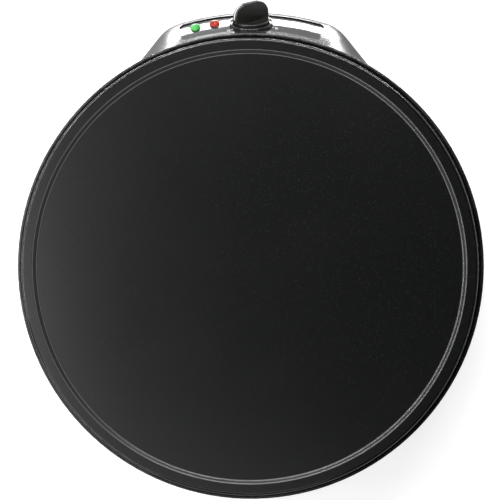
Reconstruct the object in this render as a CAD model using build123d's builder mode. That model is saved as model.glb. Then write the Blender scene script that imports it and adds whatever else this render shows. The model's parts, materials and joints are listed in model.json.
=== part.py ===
"""Electric crepe maker: a cast cooking plate on a moulded base with a thermostat knob.

Millimetres, +Z up. The front, with the sloped control panel, faces -Y. The origin is on
the floor, below the middle of the whole outline, so the plate's axis stands a little
behind it.
"""

import os
from math import cos, degrees, radians, sin, tan

from build123d import *

os.makedirs("parts", exist_ok=True)

# ---------------------------------------------------------------- driving dimensions
# Cooking plate
COOKING_R = 150.0  # flat cooking surface
BORDER_WIDTH = 10.8  # raised border round the cooking surface, with its slope
BORDER_RISE = 1.9
BORDER_ANGLE = 37.0  # slope from the cooking surface up to the border
BORDER_FOOT_ROUND = 1.0
BORDER_EDGE_ROUND = 1.0
PLATE_PROUD = 16.0  # cooking surface above the housing's rim
PLATE_THICK = 5.0
PLATE_EDGE_ROUND = 3.0
SKIRT_THICK = 3.0
SKIRT_GAP = 1.5  # air between the skirt and the housing rim
SKIRT_END_ROUND = 0.6
SKIRT_ROOT_ROUND = 2.0
PLATE_BOSS_R = 6.5  # bosses cast under the plate
TAP_SPARE = 0.8  # tapped holes run on this far beyond their screws

# Heating element
ELEMENT_INSET = 50.0  # ring of the element inside the edge of the cooking surface
ELEMENT_TUBE_R = 4.0
ELEMENT_OPENING = 30.0  # angle left open between its two ends
ELEMENT_BEND = 12.0
ELEMENT_LEG = 4.0  # straight end below the bend
ELEMENT_PAD_MARGIN = 4.0  # cast pad beyond the tube, on each side
SEAL_R = 3.4
SEAL_LENGTH = 5.0
SEAL_CHAMFER = 0.6
TAB_LENGTH = 9.0
TAB_WIDTH = 6.3
TAB_THICK = 0.8
TAB_CHAMFER = 1.2

# Housing
RIM_REVEAL = 4.9  # rim beyond the plate's edge
RIM_TOP = 60.0
RIM_LIP = 2.6  # height of the lip above the flange
WALL = 2.4
WALL_DRAFT = 2.0  # the wall leans in this far towards its foot
UPRIGHT_BAND = 8.0  # upright part of the wall below the rim
FLANGE_THICK = 2.4
COLLAR_INSET = 15.0  # drip collar inside the rim
COLLAR_RISE = 6.5  # collar above the flange
RIM_ROUND = 1.1
LIP_ROUNDS = (0.8, 0.6, 1.0, 0.6, 0.6)
COVER_BASE = 7.0  # underside of the housing and of its cover
COVER_THICK = 2.5
COVER_GAP = 0.3
COVER_RIB_INSET = 41.0  # stiffening ring inside the posts' circle
COVER_RIB_HEIGHT = 4.0
COVER_RIB_THICK = 2.0

# Control panel
FRONT = -90.0  # azimuth of the panel's middle
PANEL_SLOPE = 24.0  # lean of the face from upright
PANEL_REACH = 17.0  # upright foot of the panel beyond the rim
PANEL_HALF_ANGLE = 20.0
PANEL_CORNER_R = 30.0
FLANK_ANGLE = 33.7  # where the flank runs into the round wall
PANEL_WALL = 3.6
PANEL_FOOT_ROUND = 12.0
PANEL_ROOT_INSET = 54.0  # inner end of the flanks' plan, inside the foot of the wall
WINDOW_HALF_ANGLE = 17.0
WINDOW_MARGIN = 4.7  # window's edge inside the ends of the slope
WINDOW_DEPTH = 2.0
WINDOW_CORNER_R = 5.0
FASCIA_THICK = 1.2
FASCIA_GAP = 0.2

# Knob and bezel; heights are measured out from the panel face along the knob's axis
KNOB_REST_ANGLE = 38.0  # pointer above the user's right at rest
SKIRT_R = 13.4
SKIRT_FOOT = 0.2
SKIRT_TOP = 2.8
SKIRT_DISH = 0.9
SKIRT_RIM = 1.2  # flat rim round the dish
SKIRT_FOOT_ROUND = 0.3
SKIRT_EDGE_ROUND = 0.7
SKIRT_RIM_ROUND = 0.4
KNOB_GAP = 1.25  # air between the skirt and the bezel's rim
BEZEL_RIM = 1.1
BEZEL_TOP = 0.7
BEZEL_DISH = 1.0  # depth of the dish inside the bezel's rim
BEZEL_EDGE_ROUND = 0.6
BEZEL_DISH_ROUND = 0.3
BEZEL_SPIGOT_R = 10.0
BEZEL_SPIGOT_LENGTH = 7.0
FIN_FRONT_OVERHANG = 1.2  # pointer end of the grip fin beyond the skirt
FIN_BACK_OVERHANG = 1.1
FIN_FOOT = 1.3
FIN_FRONT_TOP = 16.0
FIN_BACK_TOP = 15.0
FIN_FRONT_ROUND = 9.0
FIN_BACK_ROUND = 10.0
FIN_FOOT_ROUND = 1.5
FIN_THICK = 4.6
FIN_EDGE_ROUND = 1.2
HUB_R = 6.0
HUB_LENGTH = 9.0
HUB_CLEARANCE = 0.7
HUB_FIT = 0.1  # knob's bore over the spindle
HUB_BORE_TOP = 2.0
HUB_EDGE_ROUND = 0.4

# Thermostat; depths are measured in from the panel face along the knob's axis
SPINDLE_R = 3.0
SPINDLE_FLAT = 1.4  # flat's distance from the axis
SPINDLE_FLAT_LENGTH = 11.0
SPINDLE_END_GAP = 0.5
SPINDLE_TIP_R = 1.5
SPINDLE_TIP = 2.35  # length of the narrow tip beyond the bush
CLIP_LEAF_THICK = 0.4
CLIP_LEAF_WIDTH = 4.0
CLIP_LEAF_LENGTH = 9.0
BUSH_START = 16.0
BUSH_LENGTH = 10.0
BUSH_R = 5.0
BUSH_CLEARANCE = 0.05
BUSH_HEX_R = 8.0
BUSH_HEX_THICK = 2.0
RING_WIDTH = 2.0
RING_THICK = 0.7
RING_GAP = 0.35
BRACKET_DEPTH = 22.0  # front face of the bracket's upright leg
BRACKET_THICK = 2.0
BRACKET_WIDTH = 22.0
BRACKET_LOW = -10.0  # leg's lower end, along the slope from the knob's axis
BRACKET_CORNER_R = 2.0
BRACKET_TAB_SPARE = 9.0  # tab beyond the middle of its screw
THERMOSTAT_BOSS_INSET = 37.0  # middle of the boss that carries it, inside the rim
THERMOSTAT_BOSS_DROP = 9.0
THERMOSTAT_SCREW_BITE = 6.0
STACK_HEIGHT = 20.0  # stack's axis above the knob's, along the slope
WASHER_R = 4.5
WASHER_THICK = 3.4
RIVET_R = 1.5
RIVET_HEAD_R = 3.0
RIVET_HEAD_THICK = 1.2
ARM_GAP = 0.7  # air each side of the moving arm's root
ARM_THICK = 0.5
ARM_WIDTH = 8.0
ARM_ROOT = 21.5
ARM_TIP = -9.0
ARM_HOLE_R = 2.6
LEAF_CORNER_R = 1.5
CONTACT_R = 2.2
CONTACT_THICK = 1.2
CONTACT_HEIGHT = -5.0
LEAF_THICK = 0.6
LEAF_TOP = 28.0
LEAF_TAG_REACH = 14.0  # side tag of a leaf, out from the middle
LEAF_TAG_WIDTH = 4.0
LOWER_WASHER_THICK = 3.3
END_WASHER_THICK = 2.4
BIMETAL_THICK = 1.0
ACTUATOR_R = 1.2

# Indicator lamps
LAMP_ANGLES = {"red": 8.7, "green": 13.3}  # from the panel's middle to the user's right
LAMP_LOWER = 4.0  # lamps below the knob's axis
LENS_R = 4.0
LENS_WALL = 0.8
LENS_DOME = 3.0
LENS_TUBE_END = 10.0
LENS_FLANGE = 1.2
LENS_FLANGE_THICK = 1.5
LAMP_GAP = 0.2
LAMP_TIP_GAP = 1.0
LAMP_START = 3.0
LAMP_END = 15.0
LAMP_TIP_ROUND = 2.4
HOLDER_THICK = 3.0
HOLDER_HEIGHT = 12.0
HOLDER_CORNER_R = 2.0
HOLDER_RECESS = 1.0
HOLDER_POST_R = 3.0
HOLDER_POST_GAP = 1.0  # air between a post and the flange of a lens
HOLDER_SCREW_INSET = 4.0  # screws in from the ends of the holder
HOLDER_SCREW_BITE = 5.0

# Heat shield and plate posts
SHIELD_DROP = 17.0  # shield below the underside of the plate
SHIELD_THICK = 0.8
SHIELD_INSET = 33.0  # shield's edge inside the rim
SHIELD_LIP = 4.0
SHIELD_DOME_R = 66.0
SHIELD_DOME_RISE = 2.0
SHIELD_LEG_CLEARANCE = 5.0
POST_INSET = 45.0  # plate's fixings inside the foot of the wall
POST_COUNT = 4
POST_START = 45.0
TOWER_TOP = 34.0
TOWER_R = 7.5
TOWER_TAPER = 2.0
SPACER_R = 5.5
SCREW_CLEAR_R = 2.3
PLATE_SCREW_R = 1.95
PLATE_SCREW_HEAD_R = 3.6
PLATE_SCREW_HEAD = 2.6
PLATE_SCREW_HEAD_ROUND = 0.8
PLATE_SCREW_HEAD_GAP = 0.6
PLATE_SCREW_SEAT = 9.0  # seat of the screw's head above the underside of the cover
PLATE_SCREW_BITE = 9.2

# Cover screws and feet
COLUMN_INSET = 8.0  # screw columns inside the foot of the wall
COLUMN_R = 4.5
COLUMN_WEB = 2.0
COLUMN_ANGLES = (0.0, 60.0, 120.0, 180.0, 232.0, 308.0)
COVER_SCREW_R = 1.6
COVER_SCREW_GAP = 0.2
COVER_SCREW_LENGTH = 12.0
COVER_SCREW_HEAD_R = 3.1
COVER_SCREW_HEAD = 2.0
COVER_SCREW_HEAD_GAP = 0.4
COVER_SCREW_HEAD_ROUND = 0.7
COVER_SCREW_RECESS = 1.3
FOOT_INSET = 28.0  # feet inside the foot of the wall
FOOT_R = 10.0
FOOT_TIP_R = 8.5
FOOT_TIP_ROUND = 1.0
FOOT_EDGE_ROUND = 0.6
FOOT_STEM_R = 4.0
FOOT_BARB_R = 4.8
FOOT_BARB_TIP_R = 3.0
FOOT_BARB_HEIGHT = 2.0
VENT_RINGS = {26.0: 18, 58.0: 12}  # ring inside the posts' circle: number of slots
VENT_LENGTH = 20.0
VENT_WIDTH = 3.2

# Mains side
INLET_HEIGHT = 24.0
INLET_HOLE_R = 7.0
INLET_FLANGE_R = 9.0
INLET_FLANGE_THICK = 1.6
INLET_NOSE = 3.0  # tapered inner end of the bush
INLET_BORE_R = 3.6
INLET_LENGTH = 12.0
INLET_MOUTH_ROUND = 0.6
INLET_EDGE_ROUND = 0.5
BLOCK_AZIMUTH = 60.0
BLOCK_INSET = 51.0
BLOCK_LENGTH = 34.0
BLOCK_WIDTH = 18.0
BLOCK_HEIGHT = 14.0
BLOCK_CORNER_R = 2.0
BLOCK_POLES = 3
BLOCK_SLOT = 1.6
BLOCK_SCREW_R = 2.0
BLOCK_SCREW_LOW = 1.5  # screws below the top of the block
FUSE_R = 2.2
FUSE_LENGTH = 14.0
FUSE_CHAMFER = 0.5
FUSE_X = -62.0  # boss that carries the fuse
FUSE_REACH = 11.0  # fuse from the middle of its boss
FUSE_CLIP_WIDTH = 9.0
FUSE_CLIP_THICK = 1.0
FUSE_CLIP_END = 5.0  # clip beyond the middle of its screw
FUSE_BOSS_DROP = 4.0
FUSE_SCREW_BITE = 4.5

# Leads and earth tag
LEAD_R = 1.2
LEAD_CLEARANCE = 0.4
LEAD_BEND = 5.0
LEAD_HEIGHT = 7.0  # leads above the cover where they leave the terminal block
SHORT_LEAD_RUN = 12.0  # straight runs out of the terminal block and the thermostat
MIDDLE_LEAD_RUN = 14.0
LONG_LEAD_RUN = 24.0
SWITCHED_LEAD_RISE = 18.0  # switched lead above the others
LIVE_LEAD_X = 44.0
LIVE_LEAD_Y = -99.0
GROMMET_R = 4.0
GROMMET_FLANGE = 1.5
GROMMET_OFFSET = 30.0  # lead holes in the shield, to the sides of the fuse
EARTH_X = 10.0
EARTH_Y = 80.0
EARTH_TAG_R = 4.0
EARTH_TAG_REACH = 14.0
EARTH_TAG_WIDTH = 4.0
EARTH_TAG_THICK = 0.8
EARTH_SCREW_END = 4.0  # screw's end above the shield

# ---------------------------------------------------------------- derived places
LEAN = radians(PANEL_SLOPE)
PLATE_R = COOKING_R + BORDER_WIDTH
RIM_R = PLATE_R + RIM_REVEAL
BASE_R = RIM_R - WALL_DRAFT
COLLAR_R = RIM_R - COLLAR_INSET
PLATE_TOP = RIM_TOP + PLATE_PROUD
PLATE_UNDER = PLATE_TOP - PLATE_THICK
SKIRT_END = RIM_TOP + SKIRT_GAP
ELEMENT_R = COOKING_R - ELEMENT_INSET
ELEMENT_HEIGHT = PLATE_UNDER - ELEMENT_TUBE_R
SHIELD_R = RIM_R - SHIELD_INSET
SHIELD_HEIGHT = PLATE_UNDER - SHIELD_DROP
SHIELD_TOP = SHIELD_HEIGHT + SHIELD_THICK
POST_R = BASE_R - POST_INSET
FLANGE_TOP = RIM_TOP - RIM_LIP
FLANGE_UNDER = FLANGE_TOP - FLANGE_THICK
WALL_DRAFT_TOP = RIM_TOP - UPRIGHT_BAND
COLUMN_CIRCLE_R = BASE_R - COLUMN_INSET
COVER_TOP = COVER_BASE + COVER_THICK
FOOT_CIRCLE_R = BASE_R - FOOT_INSET
PANEL_OUT_R = RIM_R + PANEL_REACH
PANEL_TOP = FLANGE_TOP
PANEL_FOOT = PANEL_TOP - PANEL_REACH / tan(LEAN)
KNOB_HEIGHT = (PANEL_TOP + PANEL_FOOT) / 2
LAMP_HEIGHT = KNOB_HEIGHT - LAMP_LOWER
WINDOW_HEIGHT = PANEL_REACH / sin(LEAN) - 2 * WINDOW_MARGIN


def face_radius(height):
    """Radius of the panel's sloped face at a height."""
    return RIM_R + (PANEL_TOP - height) * tan(LEAN)


# The top of the grip fin reaches furthest to the front
FRONT_REACH = face_radius(KNOB_HEIGHT) + FIN_FRONT_TOP * cos(LEAN)
AXIS_Y = (FRONT_REACH - RIM_R) / 2
PLATE_AXIS = Axis((0, AXIS_Y, 0), (0, 0, 1))


def level(height):
    """Horizontal plane at a height, centred on the plate's axis."""
    return Plane((0, AXIS_Y, height))


def radial_plane(azimuth):
    """Upright plane through the plate's axis: local x is the radius, local y the height."""
    a = radians(azimuth)
    return Plane((0, AXIS_Y, 0), x_dir=(cos(a), sin(a), 0), z_dir=(sin(a), -cos(a), 0))


def front_point(radius, side_angle):
    """Place in plan at a radius and an angle from the panel's middle."""
    a = radians(FRONT + side_angle)
    return (radius * cos(a), radius * sin(a))


def panel_plane(side_angle, height, depth=0.0):
    """Plane on the panel's face: local x to the user's right, y up the slope, z outward."""
    a = radians(FRONT + side_angle)
    x, y = front_point(face_radius(height), side_angle)
    outward = Vector(cos(a) * cos(LEAN), sin(a) * cos(LEAN), sin(LEAN))
    return Plane(Vector(x, AXIS_Y + y, height) - outward * depth, x_dir=(-sin(a), cos(a), 0), z_dir=outward)


def side_view(plane):
    """Plane that holds the given plane's normal as local y, for profiles of turned pieces."""
    return Plane(plane.origin, x_dir=plane.x_dir, z_dir=-plane.y_dir)


KNOB_FACE = panel_plane(0, KNOB_HEIGHT)
KNOB_AXIS = Axis(KNOB_FACE.origin, KNOB_FACE.z_dir)


def knob_plane(depth, slope_offset=0.0):
    """Plane across the knob's axis at a depth behind the face, moved up the slope."""
    origin = KNOB_FACE.origin - KNOB_FACE.z_dir * depth + KNOB_FACE.y_dir * slope_offset
    return Plane(origin, x_dir=KNOB_FACE.x_dir, z_dir=KNOB_FACE.z_dir)


# ---------------------------------------------------------------- heating element
first_angle = FRONT + ELEMENT_OPENING / 2
quarter = radians(45)
with BuildPart() as heating_element:
    with BuildLine() as element_path:
        with BuildLine(level(ELEMENT_HEIGHT)):
            ring = CenterArc((0, 0), ELEMENT_R, first_angle, 360 - ELEMENT_OPENING)
        for end, direction in ((ring @ 0, -(ring % 0)), (ring @ 1, ring % 1)):
            drop = Vector(0, 0, -ELEMENT_BEND)
            halfway = end + direction * ELEMENT_BEND * sin(quarter) + drop * (1 - cos(quarter))
            turned = end + direction * ELEMENT_BEND + drop
            ThreePointArc(end, halfway, turned)
            Line(turned, turned - Vector(0, 0, ELEMENT_LEG))
    path = element_path.wires()[0]
    with BuildSketch(Plane(origin=path @ 0, z_dir=path % 0)):
        Circle(ELEMENT_TUBE_R)
    sweep(path=path)
element_ends = sorted((path @ 0, path @ 1), key=lambda end: end.X)
heating_element.part.label = "heating_element"
export_step(heating_element.part, "parts/heating_element.step")

with BuildPart() as element_end_seals:
    for end in element_ends:
        with BuildSketch(Plane(origin=end, z_dir=(0, 0, -1))):
            Circle(SEAL_R)
        extrude(amount=SEAL_LENGTH)
    chamfer(element_end_seals.edges().group_by(Axis.Z)[0], length=SEAL_CHAMFER)
element_end_seals.part.label = "element_end_seals"
export_step(element_end_seals.part, "parts/element_end_seals.step")

with BuildPart() as element_terminals:
    for end in element_ends:
        with BuildSketch(Plane(origin=end - Vector(0, 0, SEAL_LENGTH), z_dir=(0, 0, -1))):
            Rectangle(TAB_WIDTH, TAB_THICK)
        extrude(amount=TAB_LENGTH)
    lower_corners = element_terminals.edges().filter_by(Axis.Y).group_by(Axis.Z)[0]
    chamfer(lower_corners, length=TAB_CHAMFER)
element_terminals.part.label = "element_terminals"
export_step(element_terminals.part, "parts/element_terminals.step")

# ---------------------------------------------------------------- griddle plate
border_top = PLATE_TOP + BORDER_RISE
slope_foot = COOKING_R + BORDER_FOOT_ROUND * tan(radians(BORDER_ANGLE / 2))
slope_end = slope_foot + BORDER_RISE / tan(radians(BORDER_ANGLE))
thermostat_seat = PLATE_UNDER - THERMOSTAT_BOSS_DROP
fuse_boss_end = PLATE_UNDER - FUSE_BOSS_DROP
thermostat_boss_place = front_point(RIM_R - THERMOSTAT_BOSS_INSET, 0)
pad_half = ELEMENT_TUBE_R + ELEMENT_PAD_MARGIN
with BuildPart() as griddle_plate:
    with BuildSketch(radial_plane(0)):
        with BuildLine():
            FilletPolyline(
                (0, PLATE_UNDER),
                (0, PLATE_TOP),
                (slope_foot, PLATE_TOP),
                (slope_end, border_top),
                (PLATE_R, border_top),
                (PLATE_R, SKIRT_END),
                (PLATE_R - SKIRT_THICK, SKIRT_END),
                (PLATE_R - SKIRT_THICK, PLATE_UNDER),
                radius=(
                    0,
                    0,
                    BORDER_FOOT_ROUND,
                    BORDER_EDGE_ROUND,
                    PLATE_EDGE_ROUND,
                    SKIRT_END_ROUND,
                    SKIRT_END_ROUND,
                    SKIRT_ROOT_ROUND,
                ),
                close=True,
            )
        make_face()
    revolve(axis=PLATE_AXIS)
    with BuildSketch(level(ELEMENT_HEIGHT)):
        Circle(ELEMENT_R + pad_half)
        Circle(ELEMENT_R - pad_half, mode=Mode.SUBTRACT)
    extrude(amount=ELEMENT_TUBE_R)
    with BuildSketch(level(SHIELD_TOP)):
        with PolarLocations(POST_R, POST_COUNT, start_angle=POST_START):
            Circle(PLATE_BOSS_R)
    extrude(amount=PLATE_UNDER - SHIELD_TOP)
    with BuildSketch(level(thermostat_seat)):
        with Locations(thermostat_boss_place):
            Circle(PLATE_BOSS_R)
    extrude(amount=THERMOSTAT_BOSS_DROP)
    with BuildSketch(level(fuse_boss_end)):
        with Locations((FUSE_X, 0)):
            Circle(PLATE_BOSS_R)
    extrude(amount=FUSE_BOSS_DROP)
    add(heating_element.part, mode=Mode.SUBTRACT)
    # Tapped holes
    with BuildSketch(level(SHIELD_TOP)):
        with PolarLocations(POST_R, POST_COUNT, start_angle=POST_START):
            Circle(PLATE_SCREW_R)
    extrude(amount=PLATE_SCREW_BITE + TAP_SPARE, mode=Mode.SUBTRACT)
    with BuildSketch(level(thermostat_seat)):
        with Locations(thermostat_boss_place):
            Circle(PLATE_SCREW_R)
    extrude(amount=THERMOSTAT_SCREW_BITE + TAP_SPARE, mode=Mode.SUBTRACT)
    with BuildSketch(level(fuse_boss_end)):
        with Locations((FUSE_X, 0)):
            Circle(PLATE_SCREW_R)
    extrude(amount=FUSE_SCREW_BITE + TAP_SPARE, mode=Mode.SUBTRACT)
griddle_plate.part.label = "griddle_plate"
export_step(griddle_plate.part, "parts/griddle_plate.step")

# ---------------------------------------------------------------- heat shield and plate posts
dome_height = SHIELD_HEIGHT + SHIELD_DOME_RISE
fuse_middle_x = FUSE_X + FUSE_REACH
grommet_places = [(fuse_middle_x, -GROMMET_OFFSET), (fuse_middle_x, GROMMET_OFFSET)]
with BuildPart() as heat_shield:
    with BuildSketch(radial_plane(0)):
        with BuildLine():
            Polyline(
                (0, dome_height),
                (0, dome_height + SHIELD_THICK),
                (SHIELD_DOME_R, dome_height + SHIELD_THICK),
                (SHIELD_DOME_R + SHIELD_DOME_RISE, SHIELD_TOP),
                (SHIELD_R, SHIELD_TOP),
                (SHIELD_R, SHIELD_TOP + SHIELD_LIP),
                (SHIELD_R + SHIELD_THICK, SHIELD_TOP + SHIELD_LIP),
                (SHIELD_R + SHIELD_THICK, SHIELD_HEIGHT),
                (SHIELD_DOME_R + SHIELD_DOME_RISE - SHIELD_THICK / 2, SHIELD_HEIGHT),
                (SHIELD_DOME_R - SHIELD_THICK / 2, dome_height),
                close=True,
            )
        make_face()
    revolve(axis=PLATE_AXIS)
    with BuildSketch(level(SHIELD_HEIGHT)):
        with PolarLocations(POST_R, POST_COUNT, start_angle=POST_START):
            Circle(SCREW_CLEAR_R)
        for end in element_ends:
            with Locations((end.X, end.Y - AXIS_Y)):
                Circle(ELEMENT_TUBE_R + SHIELD_LEG_CLEARANCE)
        with Locations(*grommet_places):
            Circle(GROMMET_R)
        with Locations((EARTH_X, EARTH_Y)):
            Circle(COVER_SCREW_R + COVER_SCREW_GAP)
    extrude(amount=SHIELD_DOME_RISE + SHIELD_THICK, mode=Mode.SUBTRACT)
heat_shield.part.label = "heat_shield"
export_step(heat_shield.part, "parts/heat_shield.step")

with BuildPart() as lead_grommets:
    with BuildSketch(level(dome_height - GROMMET_FLANGE)):
        with Locations(*grommet_places):
            Circle(GROMMET_R + GROMMET_FLANGE)
            Circle(LEAD_R + LEAD_CLEARANCE, mode=Mode.SUBTRACT)
    extrude(amount=SHIELD_THICK + 2 * GROMMET_FLANGE)
    add(heat_shield.part, mode=Mode.SUBTRACT)
lead_grommets.part.label = "lead_grommets"
export_step(lead_grommets.part, "parts/lead_grommets.step")

for number in range(POST_COUNT):
    azimuth = radians(POST_START + number * 360 / POST_COUNT)
    with BuildPart() as plate_spacer:
        with BuildSketch(level(TOWER_TOP)):
            with Locations((POST_R * cos(azimuth), POST_R * sin(azimuth))):
                Circle(SPACER_R)
                Circle(SCREW_CLEAR_R, mode=Mode.SUBTRACT)
        extrude(amount=SHIELD_HEIGHT - TOWER_TOP)
    plate_spacer.part.label = f"plate_spacer_{number + 1}"
    export_step(plate_spacer.part, f"parts/plate_spacer_{number + 1}.step")

screw_seat = COVER_BASE + PLATE_SCREW_SEAT
with BuildPart() as plate_screws:
    with BuildSketch(level(screw_seat - PLATE_SCREW_HEAD)):
        with PolarLocations(POST_R, POST_COUNT, start_angle=POST_START):
            Circle(PLATE_SCREW_HEAD_R)
    extrude(amount=PLATE_SCREW_HEAD)
    with BuildSketch(level(screw_seat)):
        with PolarLocations(POST_R, POST_COUNT, start_angle=POST_START):
            Circle(PLATE_SCREW_R)
    extrude(amount=SHIELD_TOP + PLATE_SCREW_BITE - screw_seat)
    fillet(plate_screws.edges().group_by(Axis.Z)[0], radius=PLATE_SCREW_HEAD_ROUND)
plate_screws.part.label = "plate_screws"
export_step(plate_screws.part, "parts/plate_screws.step")


# ---------------------------------------------------------------- housing
def panel_outline(plane, inset):
    """Plan of the panel bulge: an arc in front, rounded corners and two straight flanks."""
    right_side = [
        front_point(PANEL_OUT_R, PANEL_HALF_ANGLE),
        front_point(BASE_R, FLANK_ANGLE),
        front_point(BASE_R - PANEL_ROOT_INSET, FLANK_ANGLE),
    ]
    left_side = [(-x, y) for x, y in reversed(right_side)]
    with BuildSketch(plane) as outline:
        with BuildLine():
            CenterArc((0, 0), PANEL_OUT_R, FRONT - PANEL_HALF_ANGLE, 2 * PANEL_HALF_ANGLE)
            Polyline(right_side + left_side)
        make_face()
        fillet(outline.vertices().group_by(Axis.Y)[0], radius=PANEL_CORNER_R)
        if inset:
            offset(amount=-inset)
    return outline.sketch


def window_band(shrink, from_depth, to_depth):
    """Curved band of the panel window, between two depths behind the face."""
    half = WINDOW_HALF_ANGLE - degrees(shrink / face_radius(KNOB_HEIGHT))
    middle = (from_depth + to_depth) / 2
    centre = (face_radius(KNOB_HEIGHT) - middle * cos(LEAN), KNOB_HEIGHT - middle * sin(LEAN))
    with BuildPart() as band_piece:
        with BuildSketch(radial_plane(FRONT - half)):
            with Locations(centre):
                Rectangle(to_depth - from_depth, WINDOW_HEIGHT - 2 * shrink, rotation=PANEL_SLOPE)
        revolve(axis=PLATE_AXIS, revolution_arc=2 * half)
        corners = band_piece.edges().filter_by(GeomType.LINE).group_by(SortBy.LENGTH)[0]
        fillet(corners, radius=WINDOW_CORNER_R - shrink)
    return band_piece.part


# Lamp holder's place behind the panel, and the two posts that carry it
holder_angle = sum(LAMP_ANGLES.values()) / 2
holder_spread = radians(max(LAMP_ANGLES.values()) - min(LAMP_ANGLES.values()))
holder_span = face_radius(LAMP_HEIGHT) * holder_spread
holder_post = holder_span / 2 + LENS_R + LENS_FLANGE + HOLDER_POST_GAP + HOLDER_POST_R
holder_posts = [(-holder_post, 0), (holder_post, 0)]

columns = [(COLUMN_CIRCLE_R * cos(radians(a)), COLUMN_CIRCLE_R * sin(radians(a))) for a in COLUMN_ANGLES]
web_end = BASE_R - WALL / 2
inlet_draft = WALL_DRAFT * (INLET_HEIGHT - COVER_BASE) / (WALL_DRAFT_TOP - COVER_BASE)
inlet_wall_r = BASE_R + inlet_draft
with BuildPart() as upper_housing:
    # Panel bulge: upright below, sloped above
    extrude(panel_outline(level(COVER_BASE), 0), amount=PANEL_FOOT - COVER_BASE)
    extrude(panel_outline(level(PANEL_FOOT), 0), amount=PANEL_TOP - PANEL_FOOT, taper=PANEL_SLOPE)
    foot_line = upper_housing.edges().filter_by_position(Axis.Z, PANEL_FOOT, PANEL_FOOT)
    fillet(foot_line.group_by(Axis.Y)[0], radius=PANEL_FOOT_ROUND)
    # Room inside the round wall
    with BuildSketch(radial_plane(0)):
        with BuildLine():
            Polyline(
                (0, 0),
                (BASE_R - WALL, 0),
                (BASE_R - WALL, COVER_BASE),
                (RIM_R - WALL, WALL_DRAFT_TOP),
                (RIM_R - WALL, FLANGE_UNDER),
                (COLLAR_R, FLANGE_UNDER),
                (COLLAR_R, RIM_TOP),
                (0, RIM_TOP),
                close=True,
            )
        make_face()
    revolve(axis=PLATE_AXIS, mode=Mode.SUBTRACT)
    # Round wall, flange, rim lip and drip collar
    with BuildSketch(radial_plane(0)):
        with BuildLine():
            FilletPolyline(
                (BASE_R, COVER_BASE),
                (RIM_R, WALL_DRAFT_TOP),
                (RIM_R, RIM_TOP),
                (RIM_R - WALL, RIM_TOP),
                (RIM_R - WALL, FLANGE_TOP),
                (COLLAR_R + WALL, FLANGE_TOP),
                (COLLAR_R + WALL, FLANGE_TOP + COLLAR_RISE),
                (COLLAR_R, FLANGE_TOP + COLLAR_RISE),
                (COLLAR_R, FLANGE_UNDER),
                (RIM_R - WALL, FLANGE_UNDER),
                (RIM_R - WALL, WALL_DRAFT_TOP),
                (BASE_R - WALL, COVER_BASE),
                radius=(0, 0, RIM_ROUND, *LIP_ROUNDS, 0, 0, 0, 0),
                close=True,
            )
        make_face()
    revolve(axis=PLATE_AXIS)
    # Room inside the bulge
    lower_room = panel_outline(level(COVER_BASE), PANEL_WALL)
    extrude(lower_room, amount=PANEL_FOOT - COVER_BASE, mode=Mode.SUBTRACT)
    upper_room = panel_outline(level(PANEL_FOOT), PANEL_WALL)
    extrude(upper_room, amount=FLANGE_UNDER - PANEL_FOOT, taper=PANEL_SLOPE, mode=Mode.SUBTRACT)
    # Posts for the lamp holder
    with BuildSketch(panel_plane(holder_angle, LAMP_HEIGHT, LENS_TUBE_END)):
        with Locations(*holder_posts):
            Circle(HOLDER_POST_R)
    extrude(amount=LENS_TUBE_END - WINDOW_DEPTH)
    with BuildSketch(panel_plane(holder_angle, LAMP_HEIGHT, LENS_TUBE_END)):
        with Locations(*holder_posts):
            Circle(COVER_SCREW_R)
    extrude(amount=HOLDER_SCREW_BITE, mode=Mode.SUBTRACT)
    # Window for the fascia, and the holes behind it
    add(window_band(0, -PANEL_WALL, WINDOW_DEPTH), mode=Mode.SUBTRACT)
    with BuildSketch(knob_plane(2 * PANEL_WALL)):
        Circle(BEZEL_SPIGOT_R)
    extrude(amount=2 * PANEL_WALL, mode=Mode.SUBTRACT)
    for side_angle in LAMP_ANGLES.values():
        with BuildSketch(panel_plane(side_angle, LAMP_HEIGHT, 2 * PANEL_WALL)):
            Circle(LENS_R)
        extrude(amount=2 * PANEL_WALL, mode=Mode.SUBTRACT)
    # Screw columns under the flange, each tied to the wall by a web
    with BuildSketch(level(COVER_TOP)):
        with Locations(*columns):
            Circle(COLUMN_R)
        for angle in COLUMN_ANGLES:
            with PolarLocations((COLUMN_CIRCLE_R + web_end) / 2, 1, start_angle=angle):
                Rectangle(web_end - COLUMN_CIRCLE_R, COLUMN_WEB)
    extrude(amount=FLANGE_UNDER - COVER_TOP)
    with BuildSketch(level(COVER_TOP)):
        with Locations(*columns):
            Circle(COVER_SCREW_R)
    extrude(amount=COVER_SCREW_LENGTH, mode=Mode.SUBTRACT)
    # Hole for the cord bush, at the back
    with BuildSketch(Plane((0, AXIS_Y + inlet_wall_r, INLET_HEIGHT), x_dir=(1, 0, 0), z_dir=(0, 1, 0))):
        Circle(INLET_HOLE_R)
    extrude(amount=INLET_LENGTH, both=True, mode=Mode.SUBTRACT)
upper_housing.part.label = "upper_housing"
export_step(upper_housing.part, "parts/upper_housing.step")

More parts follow.
